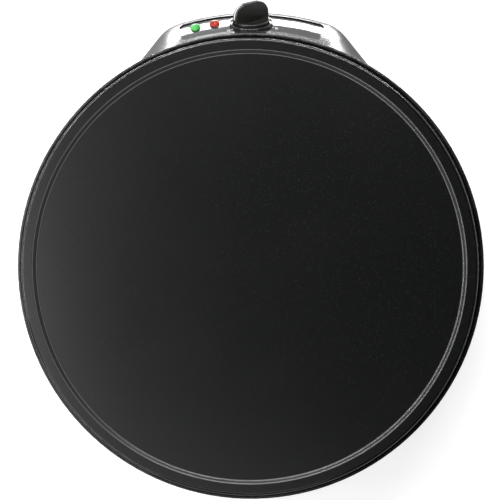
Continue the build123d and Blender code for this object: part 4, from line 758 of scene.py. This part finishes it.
# %% Lead coverings
EARTH_YELLOW, EARTH_GREEN = (0.62, 0.50, 0.02), (0.03, 0.24, 0.04)
SLEEVE_SHADE, SLEEVE_THREAD = (0.42, 0.39, 0.32), (0.78, 0.76, 0.70)
STRIPES_IN_METRE = 60.0
THREADS_IN_METRE = 380.0


def add_wave(tree, place, scale, distortion, direction):
    """Wave texture along one direction, read at a place."""
    inputs = {"Scale": scale, "Distortion": distortion}
    wave = add_node(tree, "TexWave", inputs=inputs, bands_direction=direction)
    tree.links.new(place, wave.inputs["Vector"])
    return wave.outputs["Fac"]


def striped_insulation():
    """Yellow insulation with a green stripe on each side, for the earth lead."""
    material, tree, shader = start_material("earth_insulation", IOR=1.5)
    skin = place_group(tree, grain, Scale=1500.0, Broad_Scale=60.0)
    stripes = add_wave(tree, object_place(tree), STRIPES_IN_METRE, 1.5, "DIAGONAL")
    edge = blend_range(tree, stripes, 0.52, 0.58)
    set_colour(tree, shader, mix_colours(tree, edge, EARTH_YELLOW, EARTH_GREEN))
    vary_gloss(tree, shader, skin["Broad"], 0.32, 0.45)
    add_bump(tree, shader, skin["Height"], 0.00003, 0.4)
    return material


def woven_sleeve():
    """Woven glass sleeve: crossed waves stand for its over-and-under threads."""
    material, tree, shader = start_material("glass_sleeve", IOR=1.5, Roughness=0.6)
    place = object_place(tree)
    threads = [add_wave(tree, place, THREADS_IN_METRE, 0.6, direction) for direction in ("X", "DIAGONAL")]
    weave = calculate(tree, "MAXIMUM", *threads)
    set_colour(tree, shader, mix_colours(tree, weave, SLEEVE_SHADE, SLEEVE_THREAD))
    add_bump(tree, shader, weave, 0.0002, 0.6)
    return material


coverings = {"earth_insulation": striped_insulation(), "glass_sleeve": woven_sleeve()}
print("lead coverings:", sorted(coverings))

# %% [markdown]
# ## Ink
# The scale and the pointer line are pad-printed: a dull, off-white ink that is thin enough
# to be patchy. The pointer line also stands for the highlight along the grip's rounded end,
# so it is partly a painted highlight. The material only needs a colour that varies; the
# shapes of the numbers are small pieces of mesh, laid on the panel further down.


# %% Ink
INK_THIN, INK_FULL = (0.50, 0.50, 0.48), (0.72, 0.72, 0.70)


def ink_finish():
    """Dull off-white ink of uneven thickness."""
    material, tree, shader = start_material("ink_and_painted_highlight", IOR=1.45)
    skin = place_group(tree, grain, Scale=2600.0, Broad_Scale=500.0)
    patchy = blend_range(tree, skin["Broad"], 0.3, 0.6)
    set_colour(tree, shader, mix_colours(tree, patchy, INK_THIN, INK_FULL))
    vary_gloss(tree, shader, skin["Broad"], 0.45, 0.6)
    add_bump(tree, shader, skin["Height"], 0.00001, 0.4)
    return material


ink_and_painted_highlight = ink_finish()
print("finish:", ink_and_painted_highlight.name)

# %% [markdown]
# ## Finishes on the solids
# Each solid carries the name of its material slot, so one loop dresses them all.

# %% Assign finishes
finishes = {"nonstick_aluminium": nonstick_coating}
for family in (plastics, rubbers, lenses, metals, ceramics, coverings):
    finishes.update(family)
for node in nodes.values():
    slot = node.material_slots[0]
    slot.material = finishes[slot.material.name]
print("dressed", len(nodes), "nodes with", len(finishes), "finishes")

# %% [markdown]
# ## A smooth plate
# The gloss along the plate's edge shows every facet of the solid, so the visible side of
# the plate is turned again as a fine mesh. Its profile is a row of corners, each with its
# own rounding, and short extra segments beside each rounding keep the flats flat where the
# shading is smooth. The underside, with its bosses and the seat of the element, is copied
# from the solid, and is bare cast metal.

# %% Turned profiles
SUPPORT = 0.0002  # length of the short segment on each side of a rounding
ROUNDING_STEPS = 7


def rounded_profile(corners):
    """Points of a profile; each corner is a radius, a height and a rounding, in metres."""
    points = [Vector(corners[0][:2])]
    for before, corner, after in zip(corners, corners[1:], corners[2:]):
        spot = Vector(corner[:2])
        back = (Vector(before[:2]) - spot).normalized()
        ahead = (Vector(after[:2]) - spot).normalized()
        turn = math.pi - back.angle(ahead)
        setback = corner[2] * math.tan(turn / 2)
        middle = spot + (back + ahead).normalized() * corner[2] / math.cos(turn / 2)
        start = spot + back * setback
        side = 1 if back.x * ahead.y - back.y * ahead.x > 0 else -1
        points.append(start + back * SUPPORT)
        for step in range(ROUNDING_STEPS + 1):
            swing = Matrix.Rotation(-side * turn * step / ROUNDING_STEPS, 2)
            points.append(middle + swing @ (start - middle))
        points.append(spot + ahead * (setback + SUPPORT))
    points.append(Vector(corners[-1][:2]))
    return points


def ring_of_verts(form, middle, radius, height, steps):
    """Vertices round an upright axis through a middle given in plan."""
    angles = [2 * math.pi * step / steps for step in range(steps)]
    around = [(radius * math.cos(angle), radius * math.sin(angle)) for angle in angles]
    return [form.verts.new((middle[0] + x, middle[1] + y, height)) for x, y in around]


def turn_profile(form, profile, middle, steps):
    """Turns a profile round an upright axis; its first point lies on the axis."""
    tip = form.verts.new((*middle, profile[0].y))
    loops = [ring_of_verts(form, middle, point.x, point.y, steps) for point in profile[1:]]
    for number in range(steps):
        after = (number + 1) % steps
        form.faces.new((tip, loops[0][number], loops[0][after]))
        for one, two in zip(loops, loops[1:]):
            form.faces.new((one[number], two[number], two[after], one[after]))


def finish_piece(name, form, material, body, smooth=True):
    """Makes an object of a form, gives it its material and lets it move with a body."""
    mesh = bpy.data.meshes.new(name)
    bmesh.ops.recalc_face_normals(form, faces=form.faces)
    for face in form.faces:
        face.smooth = smooth
    form.to_mesh(mesh)
    form.free()
    piece = bpy.data.objects.new(name, mesh)
    scene.collection.objects.link(piece)
    mesh.materials.append(material)
    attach(piece, body)
    return piece


print("piece helpers ready")

# %% [markdown]
# The cooking surface is flat, a short slope lifts to the raised border, and the skirt hangs
# below the outer edge. On the solid, everything low and inside the skirt is underside.

# %% Plate
# Radius, height and rounding of each corner, from the middle outward and down the skirt
PLATE_CORNERS = (
    (0.0, 0.0760, 0.0),
    (0.15045, 0.0760, 0.0021),
    (0.15260, 0.0779, 0.0018),
    (0.16100, 0.0779, 0.0018),
    (0.16100, 0.0615, 0.0006),
    (0.15780, 0.0615, 0.0006),
    (0.15780, 0.0625, 0.0),
)
INNER_RADII = (0.05, 0.1, 0.14)  # extra loops, which keep the faces of the flat middle short
UNDERSIDE_TOP = 0.07101  # a hair above the flat of the underside
SKIRT_INSIDE = 0.1579  # a hair inside the inner wall of the solid's skirt
PLATE_STEPS = 240

form = bmesh.new()
form.from_mesh(nodes["griddle_plate"].data)


def is_underneath(place):
    """Whether a place on the solid plate belongs to its underside."""
    return place.z < UNDERSIDE_TOP and math.hypot(place.x, place.y - AXIS_Y) < SKIRT_INSIDE


visible_side = [face for face in form.faces if not all(is_underneath(vert.co) for vert in face.verts)]
bmesh.ops.delete(form, geom=visible_side, context="FACES")
for face in form.faces:
    face.material_index = 1
underside_faces = len(form.faces)
profile = rounded_profile(PLATE_CORNERS)
profile[1:1] = [Vector((radius, PLATE_CORNERS[0][1])) for radius in INNER_RADII]
turn_profile(form, profile, (0.0, AXIS_Y), PLATE_STEPS)
smooth_plate = finish_piece("smooth_plate", form, nonstick_coating, "base")
smooth_plate.data.materials.append(metals["cast_aluminium"])
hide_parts("griddle_plate")
print("plate:", len(smooth_plate.data.polygons), "faces,", underside_faces, "of them underneath")

# %% [markdown]
# ## Marks beside the knob
# The joint of the knob gives its middle and its axis, so the marks need few typed places.
# From them come three directions: out of the panel, to the user's right and up the slope.
# Ink has almost no thickness. Each stroke is a narrow ribbon, drawn on a flat plane in
# front of the panel and then laid on the nearest point of the surface below it.

# %% Directions and ribbons
knob_joint = next(joint for joint in frame["joints"] if joint["name"] == "knob_turn")
KNOB_MIDDLE = Vector(knob_joint["pos_m"])
OUTWARD = -Vector(knob_joint["axis"]).normalized()
RIGHTWARD = Vector((1, 0, 0))
UPSLOPE = OUTWARD.cross(RIGHTWARD)
INK_LIFT = 0.00006
# Places across the ribbon, as shares of its width, and their heights, as shares of the lift
INK_SECTION = ((-0.5, 0.4), (-0.3, 1.0), (0.3, 1.0), (0.5, 0.4))


def panel_point(right_offset, up_offset):
    """Point on the flat plane through the knob's middle; the offsets are in metres."""
    return KNOB_MIDDLE + RIGHTWARD * right_offset + UPSLOPE * up_offset


def lay_ribbon(form, points, width, surface):
    """Lays a ribbon with a slightly raised middle on a surface, along a row of points."""
    rows = []
    for before, point, after in zip(points[:1] + points, points, points[1:] + points[-1:]):
        normal = surface.closest_point_on_mesh(point)[2]
        across = normal.cross(after - before).normalized()
        row = []
        for side, height in INK_SECTION:
            _, place, skin_normal, _ = surface.closest_point_on_mesh(point + across * width * side)
            row.append(form.verts.new(place + skin_normal * INK_LIFT * height))
        rows.append(row)
    for one, two in zip(rows, rows[1:]):
        for column in range(len(INK_SECTION) - 1):
            form.faces.new((one[column], one[column + 1], two[column + 1], two[column]))


print("panel faces", [round(value, 3) for value in OUTWARD])

# %% [markdown]
# The numbers follow the turn of the knob: it starts with its pointer up on the right and
# goes clockwise. Two of them would fall where the bezel almost touches the edge of the
# fascia, so those places carry a tick alone.

# %% Scale on the fascia
POINTER_START = 38.0  # degrees above the user's right, at rest
SCALE_STEP = 48.0
TICK_START = 0.0163  # distance from the knob's middle, as is the next value
NUMBER_RADIUS = 0.0200
NUMBER_HEIGHT = 0.0032
INK_WIDTH = 0.00045
TICK_WIDTH = 0.000585
TICK_LENGTH = 0.0014
SHORT_TICK_LENGTH = 0.0006
TICK_POINTS = 4


def arc(middle, radii, start, end, steps=14):
    """Points along part of an ellipse, with angles in degrees."""
    angles = [math.radians(start + (end - start) * step / steps) for step in range(steps + 1)]
    around = [(radii[0] * math.cos(angle), radii[1] * math.sin(angle)) for angle in angles]
    return [(middle[0] + x, middle[1] + y) for x, y in around]


# Strokes of each number, in a square of side 1; two places have no number
NUMBER_STROKES = {
    0: [arc((0.5, 0.5), (0.32, 0.5), 90, 450, 24)],
    1: [[(0.3, 0.78), (0.55, 1.0), (0.55, 0.5), (0.55, 0.0)]],
    2: [],
    3: [],
    4: [[(0.64, 0.0), (0.64, 0.5), (0.64, 1.0), (0.36, 0.65), (0.08, 0.3), (0.5, 0.3), (0.92, 0.3)]],
    5: [[(0.8, 1.0), (0.28, 1.0), (0.24, 0.56)] + arc((0.47, 0.33), (0.33, 0.33), 110, -150)],
}

fascia = nodes["control_fascia"]
form = bmesh.new()
for number, strokes in NUMBER_STROKES.items():
    angle = math.radians(POINTER_START - SCALE_STEP * number)
    sideways, uphill = math.cos(angle), math.sin(angle)
    length = TICK_LENGTH if strokes else SHORT_TICK_LENGTH
    radii = [TICK_START + length * step / (TICK_POINTS - 1) for step in range(TICK_POINTS)]
    tick = [panel_point(radius * sideways, radius * uphill) for radius in radii]
    lay_ribbon(form, tick, TICK_WIDTH, fascia)
    left = NUMBER_RADIUS * sideways - NUMBER_HEIGHT / 2
    low = NUMBER_RADIUS * uphill - NUMBER_HEIGHT / 2
    for stroke in strokes:
        spots = [panel_point(left + x * NUMBER_HEIGHT, low + y * NUMBER_HEIGHT) for x, y in stroke]
        lay_ribbon(form, spots, INK_WIDTH, fascia)
dial_marks = finish_piece("dial_marks", form, ink_and_painted_highlight, "base")
print("scale:", len(dial_marks.data.polygons), "faces")

# %% [markdown]
# The pointer line is laid the same way, but over the rounded end of the grip: rays from
# outside find the grip's outline, and the ribbon follows it. Besides being the printed
# pointer, its pale ink is a painted highlight along that rounded end.

# %% Pointer line and painted highlight on the knob
POINTER_AND_HIGHLIGHT_WIDTH = 0.0009
POINTER_AND_HIGHLIGHT_ANGLES = range(4, 59, 3)  # degrees above the knob's plane, seen from the core
POINTER_REACH = 0.04
GRIP_CORE = 0.004  # height of the core over the knob's middle

knob = nodes["thermostat_knob"]
start = math.radians(POINTER_START)
pointer = RIGHTWARD * math.cos(start) + UPSLOPE * math.sin(start)
core = KNOB_MIDDLE + OUTWARD * GRIP_CORE
outline = []
for angle in POINTER_AND_HIGHLIGHT_ANGLES:
    aim = pointer * math.cos(math.radians(angle)) + OUTWARD * math.sin(math.radians(angle))
    outline.append(knob.ray_cast(core + aim * POINTER_REACH, -aim)[1])
form = bmesh.new()
# a printed pointer that is also a painted highlight on the grip's end
lay_ribbon(form, outline, POINTER_AND_HIGHLIGHT_WIDTH, knob)
finish_piece("pointer_line_and_highlight", form, ink_and_painted_highlight, "knob")
print("pointer line:", len(outline), "points")

# %% [markdown]
# ## Screws with a driver's cross
# The screws under the cover and the plate are turned solids with plain heads. Their places
# aren't typed again but come from the solids, where the screws of one node are separate
# islands of one mesh: a walk from vertex to neighbour gathers one island after another.


# %% Places of the screws
def screw_places(node):
    """Middle in plan and lowest height of each island, then a screw's radius and length."""
    form = bmesh.new()
    form.from_mesh(node.data)
    bmesh.ops.remove_doubles(form, verts=form.verts, dist=1e-6)
    found = set()
    places = []
    for first in form.verts:
        if first in found:
            continue
        found.add(first)
        island = [first]
        for vert in island:
            neighbours = [edge.other_vert(vert) for edge in vert.link_edges]
            fresh = [other for other in neighbours if other not in found]
            found.update(fresh)
            island += fresh
        xs, ys, zs = zip(*(vert.co for vert in island))
        places.append(Vector(((min(xs) + max(xs)) / 2, (min(ys) + max(ys)) / 2, min(zs))))
        shape = (max(xs) - min(xs)) / 2, max(zs) - min(zs)
    form.free()
    return places, *shape


print("cover screws:", len(screw_places(nodes["cover_screws"])[0]))

# %% [markdown]
# Each screw gets a head with a cross recess that a screwdriver fits. A boolean cut would
# leave long thin faces, so the flat of the head is filled between its rim and the outline
# of the cross, and the cross sinks with tapered walls. No two screws stop at the same
# angle, so every cross is turned a little further.


# %% Cross recess
CROSS_REACH = 0.62  # as a share of the head's radius, as is the next value
CROSS_HALF_WIDTH = 0.16
CROSS_TAPER = 0.62  # size of the cross at its floor, as a share of that at its mouth
CROSS_DEPTH = 0.7  # as a share of the head's height
CROSS_TURN = 1.1  # radians from one screw to the next


def cross_outline(reach, half_width, turn):
    """Twelve corners of a cross, turned by an angle."""
    arm = [(reach, -half_width), (reach, half_width), (half_width, half_width)]
    corners = []
    for quarter in range(4):
        angle = turn + quarter * math.pi / 2
        cosine, sine = math.cos(angle), math.sin(angle)
        corners += [(x * cosine - y * sine, x * sine + y * cosine) for x, y in arm]
    return corners


def join_loops(form, one, two):
    """Joins two loops of the same number of vertices with faces."""
    for number in range(len(one)):
        after = (number + 1) % len(one)
        form.faces.new((one[number], one[after], two[after], two[number]))


def sink_cross(form, place, rim, head_radius, head_height, turn):
    """Fills the flat of a screw's head inside its rim, round a cross-shaped recess."""
    loops = []
    for scale, depth in ((1.0, 0.0), (CROSS_TAPER, head_height * CROSS_DEPTH)):
        size = head_radius * scale
        corners = cross_outline(CROSS_REACH * size, CROSS_HALF_WIDTH * size, turn)
        loops.append([form.verts.new((place.x + x, place.y + y, place.z + depth)) for x, y in corners])
    mouth, recess_floor = loops
    join_loops(form, mouth, recess_floor)
    form.faces.new(recess_floor)
    edges = []
    for loop in (rim, mouth):
        edges += [form.edges.get(ends) for ends in zip(loop, loop[1:] + loop[:1])]
    bmesh.ops.triangle_fill(form, use_beauty=True, edges=edges)


print("cross recess ready")

# %% [markdown]
# The rest of a screw is turned: a flat head with a rounded edge, a plain shank and a blunt
# tip. All the screws of a node become one piece, which stands for that node.


# %% Recessed screws
SCREW_STEPS = 32
HEAD_EDGE_ANGLES = (0.0, 0.5, 1.0, math.pi / 2)  # radians along the head's rounded edge
TIP_LENGTH = 0.4  # as a share of the shank's radius, as is the next value
TIP_RADIUS = 0.6


def screw_profile(head_radius, head_height, head_round, shank_radius, length):
    """Radius and height of each loop of a screw, from the flat of its head to its tip."""
    profile = [
        (head_radius - head_round * (1 - math.sin(angle)), head_round * (1 - math.cos(angle)))
        for angle in HEAD_EDGE_ANGLES
    ]
    profile += [(head_radius, head_height), (shank_radius, head_height)]
    profile += [(shank_radius, length - shank_radius * TIP_LENGTH), (shank_radius * TIP_RADIUS, length)]
    return profile


def recessed_screws(name, node_name, head_height, head_round, shank_radius):
    """Stands for a node of screws: pan heads that face down, with cross recesses."""
    places, head_radius, length = screw_places(nodes[node_name])
    profile = screw_profile(head_radius, head_height, head_round, shank_radius, length)
    form = bmesh.new()
    for number, place in enumerate(places):
        loops = []
        for radius, height in profile:
            loops.append(ring_of_verts(form, place, radius, place.z + height, SCREW_STEPS))
        for one, two in zip(loops, loops[1:]):
            join_loops(form, one, two)
        form.faces.new(loops[-1])
        sink_cross(form, place, loops[0], head_radius, head_height, number * CROSS_TURN)
    piece = finish_piece(name, form, metals["zinc_steel"], "base", smooth=False)
    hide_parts(node_name)
    return piece


cover_screw_heads = recessed_screws(
    "cover_screw_set", "cover_screws", head_height=0.0020, head_round=0.0007, shank_radius=0.0016
)
plate_screw_heads = recessed_screws(
    "plate_screw_set", "plate_screws", head_height=0.0026, head_round=0.0008, shank_radius=0.00195
)
print("screws:", len(cover_screw_heads.data.polygons), len(plate_screw_heads.data.polygons), "faces")

# %% [markdown]
# ## End

# %% End
print("scene dressed")
